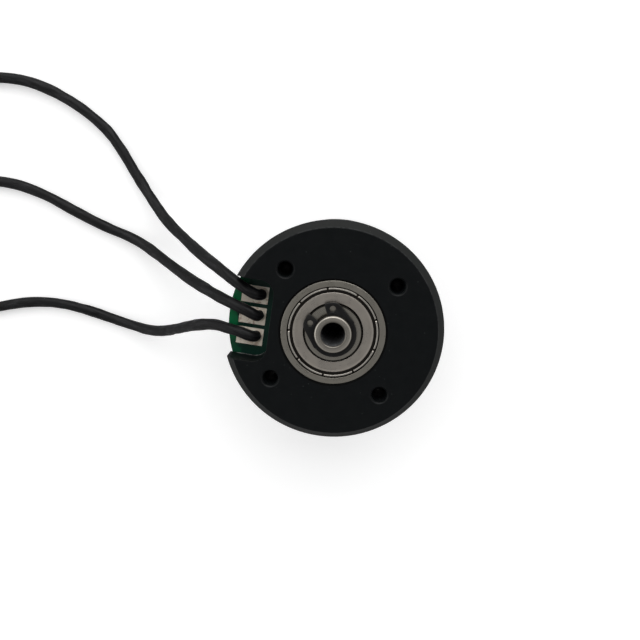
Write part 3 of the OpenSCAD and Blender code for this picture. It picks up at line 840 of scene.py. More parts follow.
@dataclass(frozen=True)
class TinFinish(Finish):
    """Tinned copper with stains of flux, bright and bare on the wires away from the motor.

    Attributes:
        wire_r: Distance from the axis beyond which it is bare wire.
        line: Colour of fine lines in the tin.
        flux: Colour of the flux's stains.
        bright: Colour of bare wire.
        dull: Colour that it drifts to.
        wire_metal: Share of metal in the wire's shader.
    """

    wire_r: float = 0.0
    line: Colour = (0.25, 0.17, 0.12)
    flux: Colour = (0.34, 0.19, 0.12)
    bright: Colour = (0.50, 0.49, 0.47)
    dull: Colour = (0.33, 0.31, 0.29)
    wire_metal: float = 0.95

    def extras(self, paint: Paint, colour: Socket) -> Socket:
        """Adds brown stains, fine lines and the bare wire.

        Args:
            paint: The material's tree.
            colour: The colour so far.

        Returns:
            The colour with them.
        """
        stain = paint.between(paint.noise(paint.place(), 0.9, 3.0, 0.6), 0.54, 0.68, 0.0, 0.6)
        lines = paint.band(paint.noise(paint.place((2.6, 0.3, 1.0)), 1.0, 1.0), 0.5, 0.02)
        wire = paint.between(paint.radius(), self.wire_r, self.wire_r + 5.0)
        paint.plug(paint.skin.inputs["Metallic"], paint.times(wire, self.wire_metal))
        metal = paint.mix(paint.noise(paint.place(), 1.3, 3.0), self.bright, self.dull)
        return paint.layers(colour, (paint.times(lines, 0.2), self.line), (stain, self.flux), (wire, metal))


@dataclass(frozen=True)
class SleeveFinish(Finish):
    """Soft black sleeve of a lead, with facets, creases and rubbed places along its length.

    Attributes:
        rubbed: Colour of the rubbed places.
        sheen: Weight and roughness of the sheen.
    """

    rubbed: Colour = (0.024, 0.024, 0.026)
    sheen: Pair = (0.04, 0.4)

    def extras(self, paint: Paint, colour: Socket) -> Socket:
        """Adds long creases, a fine cloth-like skin and paler rubbed lines.

        Args:
            paint: The material's tree.
            colour: The colour so far.

        Returns:
            The colour with them.
        """
        creases = paint.noise(paint.lay((0.22, 1.5, 1.5)), 1.0, 3.0, 0.65)
        skin = paint.noise(paint.lay((4.0, 9.0, 9.0)), 1.0, 2.0)
        paint.bump(creases, 0.12, 0.7)
        paint.bump(skin, 0.012, 0.6)
        for key, value in zip(("Sheen Weight", "Sheen Roughness"), self.sheen):
            paint.skin.inputs[key].default_value = value
        rubbed = paint.times(paint.between(creases, 0.48, 0.62), paint.between(skin, 0.35, 0.6), 0.65)
        return paint.mix(rubbed, colour, self.rubbed)


FINISHES: dict[str, Finish] = {f.name: f for f in (
    AnodisedFinish("black_anodised", (0.0023, 0.0031, 0.0035), (0.0031, 0.0039, 0.0043), roughness=0.36,
                   fine=7.0, relief=0.004, metallic=0.0, spread=0.02, grain=Grain.TURNED, gloss=0.13,
                   chamfer_r=21.7, chamfer_w=1.6, chamfer_z=-1.8, foot_z=-5.95, foot_half=0.55, seat_r=11.38),
    BearingFinish("ground_steel", (0.38, 0.36, 0.315), (0.325, 0.305, 0.265), roughness=0.3,
                  fine=16.0, relief=0.003, spread=0.05, grain=Grain.GROUND),
    BearingFinish("shield_steel", (0.54, 0.50, 0.45), (0.45, 0.41, 0.36), roughness=0.32,
                  fine=5.0, relief=0.003, spread=0.06, grain=Grain.TURNED, clean_to=0.1, dark_from=0.28),
    BearingFinish("shaft_steel", (0.46, 0.435, 0.385), (0.40, 0.37, 0.325), roughness=0.3,
                  fine=12.0, relief=0.003, spread=0.05, grain=Grain.GROUND, clean_to=0.04, dark_from=0.2,
                  oil_and_shade=0.93),
    Finish("ball_steel", (0.62, 0.62, 0.62), (0.55, 0.55, 0.56), roughness=0.1,
           fine=3.0, relief=0.001, spread=0.04),
    Finish("cage_steel", (0.46, 0.44, 0.40), (0.34, 0.32, 0.28), roughness=0.38, fine=4.0, relief=0.004),
    Finish("spring_steel", (0.42, 0.42, 0.43), (0.30, 0.29, 0.28), roughness=0.35,
           fine=9.0, relief=0.004, grain=Grain.TURNED),
    Finish("phosphated_steel", (0.0032, 0.0032, 0.0038), (0.0100, 0.0095, 0.0090), roughness=0.42,
           fine=6.0, relief=0.006, metallic=0.25, spread=0.06, gloss=0.3),
    Finish("lamination_steel", (0.26, 0.26, 0.27), (0.13, 0.125, 0.12), roughness=0.42,
           fine=5.5, relief=0.05, metallic=0.9, spread=0.1, grain=Grain.LAMINATED),
    Finish("flux_ring_steel", (0.0110, 0.0115, 0.0125), (0.0140, 0.0143, 0.0152), roughness=0.27,
           fine=3.0, relief=0.006, metallic=0.2, spread=0.02, grain=Grain.TURNED),
    Finish("black_oxide", (0.016, 0.016, 0.018), (0.035, 0.033, 0.032), roughness=0.38,
           fine=5.0, relief=0.006, metallic=0.7),
    Finish("magnet_nickel", (0.58, 0.56, 0.53), (0.46, 0.44, 0.41), roughness=0.22,
           fine=2.0, relief=0.006, spread=0.07),
    Finish("insulating_sheet", (0.05, 0.11, 0.24), (0.035, 0.08, 0.19), roughness=0.5,
           fine=6.0, relief=0.02, metallic=0.0, spread=0.1),
    Finish("enamelled_copper", (0.50, 0.15, 0.05), (0.34, 0.085, 0.03), roughness=0.26,
           fine=3.0, relief=0.006, metallic=0.85, spread=0.07, coat=0.4),
    BoardLacquer("solder_mask", (0.0015, 0.027, 0.017), (0.0015, 0.020, 0.013), roughness=0.36,
                 fine=5.0, relief=0.01, metallic=0.0, spread=0.06, gloss=0.2,
                 top=-6.4, bottom=-7.6, lit_band_r=21.0),
    TinFinish("tin", (0.95, 0.89, 0.76), (0.80, 0.70, 0.58), roughness=0.42,
              fine=1.6, relief=0.03, metallic=0.0, spread=0.1, wire_r=40.0),
    SleeveFinish("lead_sleeve", (0.0016, 0.0016, 0.0020), (0.0034, 0.0035, 0.0040), roughness=0.46,
                 fine=1.2, relief=0.05, metallic=0.0, grain=Grain.ALONG, gloss=0.17),
)}


class Workshop:
    """Holds the made materials and gives each finished piece its body, slot and material."""

    def __init__(self) -> None:
        """Builds every material once."""
        self.materials = {name: finish.material() for name, finish in FINISHES.items()}

    def finish(self, piece: bpy.types.Object, body: str, slot: str, *nodes: str) -> bpy.types.Object:
        """Dresses a new piece and puts it on its body.

        Args:
            piece: The new object.
            body: CAD body that it rides on.
            slot: The record's material slot.
            *nodes: CAD nodes that it stands for.

        Returns:
            The piece.
        """
        piece.data.materials.clear()
        piece.data.materials.append(self.materials[slot])
        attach(piece, body)
        if nodes:
            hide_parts(*nodes)
        LOG.info("%s rides on %s, %d faces", piece.name, body, len(piece.data.polygons))
        return piece

    def keep(self, *nodes: str) -> None:
        """Gives CAD nodes that keep their own shape the material of their slot.

        Args:
            *nodes: The nodes.
        """
        slots = {row["node"]: row["material_slot"] for row in frame["record"]["subparts"]}
        for node in nodes:
            for place in frame["nodes"][node].material_slots:
                place.material = self.materials[slots[node]]
            LOG.info("%s keeps its CAD shape", node)


# Sub-assemblies


@dataclass
class ScrewThread:
    """An internal screw thread, as a ridge that winds up the wall of a plain hole.

    Attributes:
        radius: Radius of the hole.
        pitch: Rise of the thread in one turn.
        rise: How far the crest stands out of the wall.
        top: Height of the upper end.
        length: Length of the thread.
        steps: Points to a turn.
        section: Rows of the ridge's section: how far it stands out over the rise, and height over the pitch.
        least: Share of the rise that is left at both ends.
    """

    radius: float
    pitch: float
    rise: float
    top: float
    length: float
    steps: int = 28
    section: tuple[Pair, ...] = ((-0.15, 0.42), (0.85, 0.1), (1.0, 0.0), (0.85, -0.1), (-0.15, -0.42))
    least: float = 0.05

    def ridge(self) -> np.ndarray:
        """Grid of the ridge: its section carried along (r cos a, r sin a, top - pitch a / 2 pi).

        Returns:
            An array (n, m, 3).
        """
        turns = self.length / self.pitch
        a = np.linspace(0.0, 2 * np.pi * turns, int(turns * self.steps))
        fade = np.clip(np.minimum(a, a[-1] - a) / np.pi, self.least, 1.0)
        out, up = np.array(self.section).T
        radius = self.radius - fade[:, None] * self.rise * out
        height = self.top - self.pitch * a[:, None] / (2 * np.pi) + self.pitch * up
        return np.concatenate([polar(radius, a[:, None]), height[..., None]], axis=-1)

    def four(self, ring_r: float, turn: float) -> Form:
        """Four such threads, a quarter turn apart.

        Args:
            ring_r: Distance of each from the Z axis.
            turn: Direction of the first.

        Returns:
            The form that holds them.
        """
        form = Form()
        for k in range(4):
            ridge = self.ridge() + np.array([ring_r, 0.0, 0.0])
            form.grid(turned(ridge, turn + 90.0 * k), wrap=(False, True), caps=True)
        return form


@dataclass
class MountingPlate:
    """Black mounting plate with its stator tube, notch and four threaded holes.

    Attributes:
        ease: Width of the rounding on its edges.
        hole_ring: Radius of the circle of holes.
        hole_turn: Direction of the first hole.
        thread: The thread in each hole.
    """

    ease: float = 0.09
    hole_ring: float = 16.5
    hole_turn: float = 45.0
    thread: ScrewThread = field(default_factory=lambda: ScrewThread(1.65, 0.7, 0.2, -0.55, 3.9))

    def build(self, shop: Workshop) -> None:
        """Builds the plate with eased edges and the threads in its holes.

        Args:
            shop: The workshop that dresses the pieces.
        """
        plate = eased("base_plate", "mounting_plate", self.ease)
        shop.finish(plate, "stator", "black_anodised", "base_plate")
        threads = self.thread.four(self.hole_ring, self.hole_turn).piece("mounting_threads")
        shop.finish(threads, "stator", "black_anodised")


@dataclass
class BallBearing:
    """Deep groove ball bearing with two pressed shields.

    A shield is a flat with a raised edge, a trough round it and a notched rim in the outer ring's seat.

    Attributes:
        where: "rear" or "front", the first word of its nodes.
        middle: Height of its middle.
        outer_d: Outer diameter.
        width: Width of the rings.
        ball_d: Ball diameter.
        bore_d: Diameter of the shaft.
        bore_play: Gap between the shaft and the inner ring.
        land_share: Height of a race's edge from the circle of balls, over the ball's radius.
        groove_share: Radius of a race's groove, over the ball's.
        ball_play: Gap between a ball and a race.
        seat_step: Step from the outer race's edge out to the shields' seat.
        lip_w: Width of the slope from the seat up to the ring's face.
        outer_rounds: Rounding of the outer ring's corners, from the race out.
        inner_rounds: Rounding of the inner ring's corners, from the race in.
        edge_oil_and_shade: Width of the edge of the inner ring's face that gets oil and painted shade.
        edge_depth: Depth at which that edge counts as lying, for its oil and painted shade.
        oil_and_shade_reach: How far beyond the seat, and from the shaft, oil and painted shade are weaker.
        far_oil_and_shade: How strong they are there.
        shield_play: Gap between a shield and the inner ring.
        sheet: Sheet of a shield.
        flat_sink: Depth of its flat below the ring's face.
        dish_w: Width of the flat's raised edge.
        dish_h: Height of that edge.
        trough_h: Depth of the trough below the flat.
        trough_w: Width of the trough.
        rim_sink: Depth of the rim below the ring's face.
        rim_w: Width of the rim.
        rim_play: Width of the rim's outer slope.
        shield_rounds: Rounding of a shield's corners, from the lower edge of its bore.
        rim_highlight_h: How far down its rim the painted highlight reaches.
        notch_count: Notches in the rim.
        notch_turn: Direction of one of them.
        notch_half: Half angle of a notch.
        notch_sink: Depth of a notch.
        notch_side: How steep its ends are.
    """

    where: str
    middle: float
    outer_d: float
    width: float
    ball_d: float
    bore_d: float = 8.0
    bore_play: float = 0.02
    land_share: float = 0.73
    groove_share: float = 1.04
    ball_play: float = 0.03
    seat_step: float = 0.59
    lip_w: float = 0.17
    outer_rounds: tuple[float, ...] = (0.03, 0.03, 0.03, 0.03, 0.05, 0.16)
    inner_rounds: tuple[float, ...] = (0.09, 0.01, 0.3)
    edge_oil_and_shade: float = 0.21
    edge_depth: float = 0.2
    oil_and_shade_reach: Pair = (0.3, 0.6)
    far_oil_and_shade: float = 0.3
    shield_play: float = 0.25
    sheet: float = 0.25
    flat_sink: float = 0.3
    dish_w: float = 0.45
    dish_h: float = 0.1
    trough_h: float = 0.35
    trough_w: float = 0.63
    rim_sink: float = 0.2
    rim_w: float = 0.45
    rim_play: float = 0.1
    shield_rounds: tuple[float, ...] = (0.05, 0.06, 0.25, 0.12, 0.08, 0.05,
                                        0.13, 0.13, 0.03, 0.06, 0.06, 0.05)
    rim_highlight_h: float = 0.07
    notch_count: int = 9
    notch_turn: float = 25.5
    notch_half: float = 1.5
    notch_sink: float = 0.3
    notch_side: float = 1.25

    @property
    def pitch_r(self) -> float:
        """Radius of the circle of balls."""
        return (self.outer_d + self.bore_d) / 4

    @property
    def land(self) -> float:
        """Height of a race's edge from the circle of balls."""
        return self.land_share * self.ball_d / 2

    @property
    def seat_r(self) -> float:
        """Radius of the shields' seat in the outer ring."""
        return self.pitch_r + self.land + self.seat_step

    def groove(self, side: int) -> np.ndarray:
        """Arc of a race's groove, from its upper to its lower edge.

        Args:
            side: 1 for the outer race and -1 for the inner one.

        Returns:
            Rows of radius and height.
        """
        radius = self.groove_share * self.ball_d / 2
        middle = self.pitch_r + side * (self.ball_d / 2 + self.ball_play - radius)
        reach = np.arccos((self.pitch_r + side * self.land - middle) * side / radius)
        return np.array([middle, 0.0]) + polar(radius, np.linspace(reach, -reach, 13)) * [side, 1.0]

    def ring_loop(self, outer: bool) -> np.ndarray:
        """Closed half section of a ring: its corners, rounded, above and below the groove's arc.

        Args:
            outer: Whether it is the outer ring.

        Returns:
            Rows of radius and height.
        """
        half = self.width / 2
        if outer:
            fit, land = self.outer_d / 2, self.pitch_r + self.land
            seat_z = half - (self.flat_sink + self.trough_h + self.sheet)
            lip, lip_z = self.seat_r + self.lip_w, half - self.rim_sink
            above = [(land, seat_z), (self.seat_r, seat_z), (self.seat_r, lip_z - self.lip_w),
                     (lip, lip_z), (lip, half), (fit, half)]
            sizes = self.outer_rounds
        else:
            fit, land = self.bore_d / 2 + self.bore_play, self.pitch_r - self.land
            above, sizes = [(land, half), (land - self.edge_oil_and_shade, half), (fit, half)], self.inner_rounds
        above = np.array(above)
        below = (above * [1.0, -1.0])[::-1]
        corners = rounded_loop(np.vstack([above, below]), np.array(sizes + sizes[::-1]), 6)
        return np.vstack([corners, self.groove(1 if outer else -1)[::-1]])

    def shield_grid(self, angles: np.ndarray) -> tuple[np.ndarray, np.ndarray]:
        """One pressed shield: its closed section turned about the axis, its rim lowered at each notch.

        Args:
            angles: Angles round the axis, in radians.

        Returns:
            The grid of points, and how far each one was lowered.
        """
        flat_z, rim_z = self.width / 2 - self.flat_sink, self.width / 2 - self.rim_sink
        trough_z, rim_r = flat_z - self.trough_h, self.seat_r - self.rim_w
        flat_r, bore_r = rim_r - self.trough_w, self.pitch_r - self.land + self.shield_play
        dish_z, dish_r = flat_z - self.dish_h, flat_r - self.dish_w
        under_z, wall_r = trough_z - self.sheet, flat_r - self.sheet
        corners = np.array([(bore_r, dish_z - self.sheet), (bore_r, dish_z), (dish_r, dish_z),
                            (flat_r, flat_z), (flat_r, trough_z), (rim_r, trough_z), (rim_r, rim_z),
                            (self.seat_r - self.rim_play, rim_z), (self.seat_r, trough_z),
                            (self.seat_r, under_z), (wall_r, under_z), (wall_r, dish_z - self.sheet)])
        loop = rounded_loop(corners, np.array(self.shield_rounds), 6)
        spacing = 360.0 / self.notch_count
        off = np.abs((np.degrees(angles) - self.notch_turn + spacing / 2) % spacing - spacing / 2)
        nick = np.clip(self.notch_side - off / self.notch_half, 0.0, 1.0)
        raised = np.clip((loop[:, 1] - trough_z - 0.02) / (rim_z - trough_z), 0.0, 1.0)
        sunk = self.notch_sink * (raised * (loop[:, 0] > rim_r - 0.03))[:, None] * nick[None]
        return revolve(loop[:, 0], loop[:, 1:] - sunk, angles), sunk

    def oil_and_shade_lay(self, grid: np.ndarray, face: float, share: np.ndarray) -> np.ndarray:
        """Lay of a bearing piece: (depth below its open face times the share, radius, 0).

        Args:
            grid: Points about the bearing's middle.
            face: Height of the open face above the middle.
            share: How strongly oil and painted shade show at each point.

        Returns:
            An array like grid.
        """
        depth = np.clip(face - np.abs(grid[..., 2]), 0.0, None) * share
        radius = np.hypot(grid[..., 0], grid[..., 1])
        return np.stack([depth, radius, np.zeros_like(radius)], axis=-1)

    def rings(self, shop: Workshop) -> None:
        """Builds the outer and the inner ring.

        Args:
            shop: The workshop that dresses the pieces.
        """
        for kind, body, steps in (("outer", "stator", 160), ("inner", "rotor", 128)):
            loop = self.ring_loop(kind == "outer")
            grid = revolve(loop[:, 0], loop[:, 1], circle(steps))
            seat, bore = self.seat_r + self.oil_and_shade_reach[0], self.bore_d / 2 + self.oil_and_shade_reach[1]
            near = loop[:, 0] < seat if kind == "outer" else loop[:, 0] > bore
            lay = self.oil_and_shade_lay(grid, self.width / 2, np.where(near, 1.0, self.far_oil_and_shade)[:, None])
            if kind == "inner":
                # The edge beside the race gets oil and painted shade.
                lay[..., 0] += self.edge_depth * (loop[:, :1] > self.pitch_r - self.land - self.edge_oil_and_shade)
            form = Form().grid(grid + [0.0, 0.0, self.middle], wrap=(True, True), lay=lay)
            shop.finish(form.piece(f"{self.where}_{kind}_race", 40.0), body, "ground_steel",
                        f"{self.where}_bearing_{kind}_ring")

    def build(self, shop: Workshop) -> None:
        """Builds rings and shields, and keeps the CAD balls and cage.

        Args:
            shop: The workshop that dresses the pieces.
        """
        self.rings(shop)
        half = self.width / 2
        form, (upper, sunk) = Form(), self.shield_grid(circle(720))
        # Depth below the flat: the trough and the sunk notches get oil and painted shade.
        lay = self.oil_and_shade_lay(upper, half - self.flat_sink, np.ones(1))
        lay[..., 0] += sunk
        # The shield's rim gets a painted highlight.
        lay[..., 2] = upper[..., 2] > half - self.rim_sink - self.rim_highlight_h
        for side in (1.0, -1.0):
            form.grid(upper * [1.0, 1.0, side] + [0.0, 0.0, self.middle], wrap=(True, True), lay=lay)
        shop.finish(form.piece(f"{self.where}_pressed_shields", 40.0), "stator", "shield_steel",
                    f"{self.where}_bearing_shields")
        shop.keep(f"{self.where}_bearing_balls", f"{self.where}_bearing_cage")


@dataclass
class MotorShaft:
    """Shaft with chamfered ends, circlip groove, threaded bore and two flats.

    Attributes:
        radius: Radius of the shaft.
        tip: Height of the upper end.
        bottom: Height of the lower end.
        bore_r: Radius of the bore.
        bore_depth: Depth of the bore's wall.
        point: Height of the drill's point below it, over the bore's radius.
        chamfer: Width of the chamfer at both ends.
        mouth: Width of the chamfer at the bore's mouth.
        groove: Lower and upper height and radius of the circlip's groove.
        rounds: Rounding of the outside's corners, from the bore's mouth down.
        pitch: Rise of the bore's thread in one turn.
        thread_depth: Depth of the thread.
        thread_z: Heights where the thread begins and ends.
        thread_fade: Length over which it fades at each end.
        thread_wave: Slope and offset that round the thread's wave.
        flat_turns: Directions of the two flats.
        flat_r: Distance of the flats from the axis.
        flat_z: Heights between which they lie.
        side_oil_and_shade: Depth that the side and the lower end count as having, so that they get a little
            oil and painted shade.
        lip_depth: Least such depth inside the bore's mouth, which dims its glint with painted shade.
        dust_depth: Such depth in the bore, where the wall is dusty.
        dust_from: Depth below which it is.
    """

    radius: float = 4.0
    tip: float = 1.7
    bottom: float = -31.7
    bore_r: float = 2.5
    bore_depth: float = 20.0
    point: float = 0.6
    chamfer: float = 0.35
    mouth: float = 0.2
    groove: tuple[float, float, float] = (-0.35, 0.55, 3.8)
    rounds: tuple[float, ...] = (0.05, 0.22, 0.12, 0.03, 0.02, 0.02, 0.03, 0.12, 0.12)
    pitch: float = 1.0
    thread_depth: float = 0.45
    thread_z: Pair = (1.2, -15.5)
    thread_fade: float = 0.6
    thread_wave: Pair = (1.25, -0.12)
    flat_turns: Pair = (30.0, 150.0)
    flat_r: float = 3.7
    flat_z: Pair = (-31.6, -27.6)
    side_oil_and_shade: float = 0.12
    lip_depth: float = 0.12
    dust_depth: float = 0.145
    dust_from: float = 0.3

    def outside(self) -> np.ndarray:
        """Radius and height down the outside, from the bore's mouth to the lower end.

        Returns:
            Rows of radius and height.
        """
        low, high, neck = self.groove
        r, c = self.radius, self.chamfer
        corners = np.array([(self.bore_r + self.mouth, self.tip), (r - c, self.tip), (r, self.tip - c),
                            (r, high), (neck, high), (neck, low), (r, low), (r, self.bottom + c),
                            (r - c, self.bottom)])
        return rounded_loop(corners, np.array(self.rounds), 5)[3:-2]

    def bore(self, angles: np.ndarray) -> tuple[np.ndarray, np.ndarray]:
        """The bore: radius = bore_r + depth * ridge(z / pitch + a / 2 pi), where ridge is a rounded wave.

        Args:
            angles: Angles round the axis, in radians.

        Returns:
            Radius and height, each with a row for each height down the bore.
        """
        start, end = self.thread_z
        mouth, floor = self.tip - self.mouth, self.tip - self.bore_depth
        z = np.concatenate([[mouth], np.linspace(start, end, 150), [floor]])[:, None]
        wave = np.abs(2 * ((z / self.pitch + angles[None] / (2 * np.pi)) % 1.0) - 1.0)
        slope, offset = self.thread_wave
        ridge = np.clip(slope * wave + offset, 0.0, 1.0)
        fade = np.clip(np.minimum(start - z, z - end) / self.thread_fade, 0.0, 1.0)
        radius = self.bore_r + self.thread_depth * fade * ridge
        return radius, np.broadcast_to(z, radius.shape)

    def with_flats(self, radius: np.ndarray, height: np.ndarray, angles: np.ndarray) -> np.ndarray:
        """Radius of the surface after both flats are cut: at most flat_r / cos of the angle from the flat.

        Args:
            radius: Radius before the cut.
            height: Height of each point.
            angles: Angles round the axis, in radians.

        Returns:
            An array like radius.
        """
        low, high = self.flat_z
        for turn in self.flat_turns:
            off = np.cos(angles - np.radians(turn))[None]
            cut = (height > low) & (height < high) & (off > 0.5) & (radius > 3.0)
            radius = np.where(cut, np.minimum(radius, self.flat_r / np.maximum(off, 0.5)), radius)
        return radius

    def oil_and_shade_lay(self, radius: np.ndarray, height: np.ndarray) -> np.ndarray:
        """Lay of the shaft: (depth below the nearer end, radius, -1 where dusty and 0 elsewhere).

        Args:
            radius: Radius of each point.
            height: Height of each point.

        Returns:
            An array (n, m, 3).
        """
        depth = np.minimum(self.tip - height, height - self.bottom)
        side = (radius > self.radius - 0.01) & (depth > 0.5)
        # The side and the lower end get a little oil and painted shade.
        depth = np.where(side | (height < self.bottom + 0.01), self.side_oil_and_shade, depth)
        in_bore = radius < self.bore_r + self.thread_depth
        dusty = in_bore & (depth > self.dust_from)
        depth = np.where(dusty, self.dust_depth, np.where(in_bore, np.maximum(depth, self.lip_depth), depth))
        return np.stack([depth, radius, -1.0 * dusty], axis=-1)

    def build(self, shop: Workshop) -> None:
        """Builds the shaft as one closed surface from the bore's bottom out and down to the lower end.

        Args:
            shop: The workshop that dresses the pieces.
        """
        angles = circle(120)
        bore_r, bore_z = self.bore(angles)
        out = self.outside()
        deep = self.tip - self.bore_depth - self.point * self.bore_r
        ones = np.ones((1, len(angles)))
        radius = np.vstack([AXIS_R * ones, bore_r[::-1], out[:, :1] * ones, AXIS_R * ones])
        height = np.vstack([deep * ones, bore_z[::-1], out[:, 1:] * ones, self.bottom * ones])
        radius = self.with_flats(radius, height, angles)
        form = Form().grid(revolve(radius, height, angles), wrap=(False, True), caps=True,
                           lay=self.oil_and_shade_lay(radius, height))
        shop.finish(form.piece("motor_shaft", 38.0), "rotor", "shaft_steel", "shaft")
        shop.keep("spacer_tube", "hub_washer", "wave_washer")


@dataclass
class RetainingRing:
    """Circlip with rounded lugs, whose straight flanks end in small corners on the body.

    Attributes:
        gap_turn: Direction of the gap.
        gap_half: Half angle of the gap.
        lug_half: Half angle to the far corner of each lug.
        flank_half: Half angle where the flanks end.
        neck_r: Radius of the shaft's groove.
        lug_r: Radius of the lugs' ends.
        corner_r: Radius where the flanks end.
        body_r: Radius of the body's outside.
        offset: How far the body's centre lies from the axis, away from the gap.
        near: Rounding of a lug's corner at the gap.
        far: Rounding of its far corner, along its end.
        foot: How far in, and how many degrees on, the flank runs from the far corner.
        hole: Distance, half angle and radius of the hole in each lug.
        level: Heights of its two faces.
        ease: Width of the rounding on its edges.
    """

    gap_turn: float = 131.5
    gap_half: float = 16.5
    lug_half: float = 43.0
    flank_half: float = 96.0
    neck_r: float = 3.8
    lug_r: float = 6.5
    corner_r: float = 5.0
    body_r: float = 4.8
    offset: float = 0.2
    near: float = 0.55
    far: float = 0.7
    foot: Pair = (0.45, 5.5)
    hole: tuple[float, float, float] = (5.18, 32.6, 0.65)
    level: Pair = (-0.3, 0.5)
    ease: float = 0.12

    def half_outline(self) -> np.ndarray:
        """Half the outline, from the groove at the gap round a lug to the body's far side.

        Returns:
            Rows of x and y.
        """

        def at(radius: float, degrees: float | np.ndarray) -> np.ndarray:
            """Point or points at a radius and an angle from the gap."""
            return polar(radius, np.radians(degrees))

        near_turn, far_turn = (np.degrees(size / self.lug_r) for size in (self.near, self.far))
        barb = at(self.corner_r, self.flank_half)
        foot = at(self.lug_r - self.foot[0], self.lug_half + self.foot[1])
        flank = unit(barb - foot)
        body = np.linspace(np.radians(self.flank_half + 1.0), np.pi, 48, endpoint=False)
        return np.vstack([
            bend(at(self.neck_r, self.gap_half + 2.5), at(self.neck_r, self.gap_half),
                 at(self.neck_r + 0.2, self.gap_half), 9),
            bend(at(self.lug_r - self.near, self.gap_half), at(self.lug_r, self.gap_half),
                 at(self.lug_r, self.gap_half + near_turn), 9),
            at(self.lug_r, np.linspace(self.gap_half + near_turn, self.lug_half - far_turn, 8)[1:-1]),
            bend(at(self.lug_r, self.lug_half - far_turn), at(self.lug_r, self.lug_half),
                 foot + 0.25 * flank, 9),
            bend(barb - 0.15 * flank, barb, barb + 0.1 * unit(-barb), 9),
            polar(self.body_r, body) - [self.offset, 0.0],
        ])

    def loops(self) -> list[np.ndarray]:
        """The outline, with the groove's arc between its halves, and the holes in the lugs.

        Returns:
            The three closed lines, as rows of x and y.
        """
        half = self.half_outline()
        tip = np.arctan2(half[0, 1], half[0, 0])
        neck = polar(self.neck_r, np.linspace(2 * np.pi - tip, tip, 96)[1:-1])
        far = np.array([[-self.body_r - self.offset, 0.0]])
        distance, turn, radius = self.hole
        rim = polar(radius, -circle(40))
        holes = [polar(distance, np.radians(side * turn)) + rim for side in (-1.0, 1.0)]
        return [np.vstack([half, far, half[::-1] * [1.0, -1.0], neck]), *holes]

    def build(self, shop: Workshop) -> None:
        """Builds the ring, turned to its place.

        Args:
            shop: The workshop that dresses the pieces.
        """
        low, high = self.level
        a = np.linspace(0.0, np.pi / 2, 5)
        lower = np.stack([self.ease * (1 - np.sin(a)), low + self.ease * (1 - np.cos(a))], axis=-1)
        profile = np.vstack([lower, (lower * [1.0, -1.0] + [0.0, low + high])[::-1]])
        loops = [turned(np.c_[loop, 0 * loop[:, 0]], self.gap_turn)[:, :2] for loop in self.loops()]
        ring = Form().slab(loops, profile).piece("retaining_ring")
        shop.finish(ring, "rotor", "phosphated_steel", "circlip")


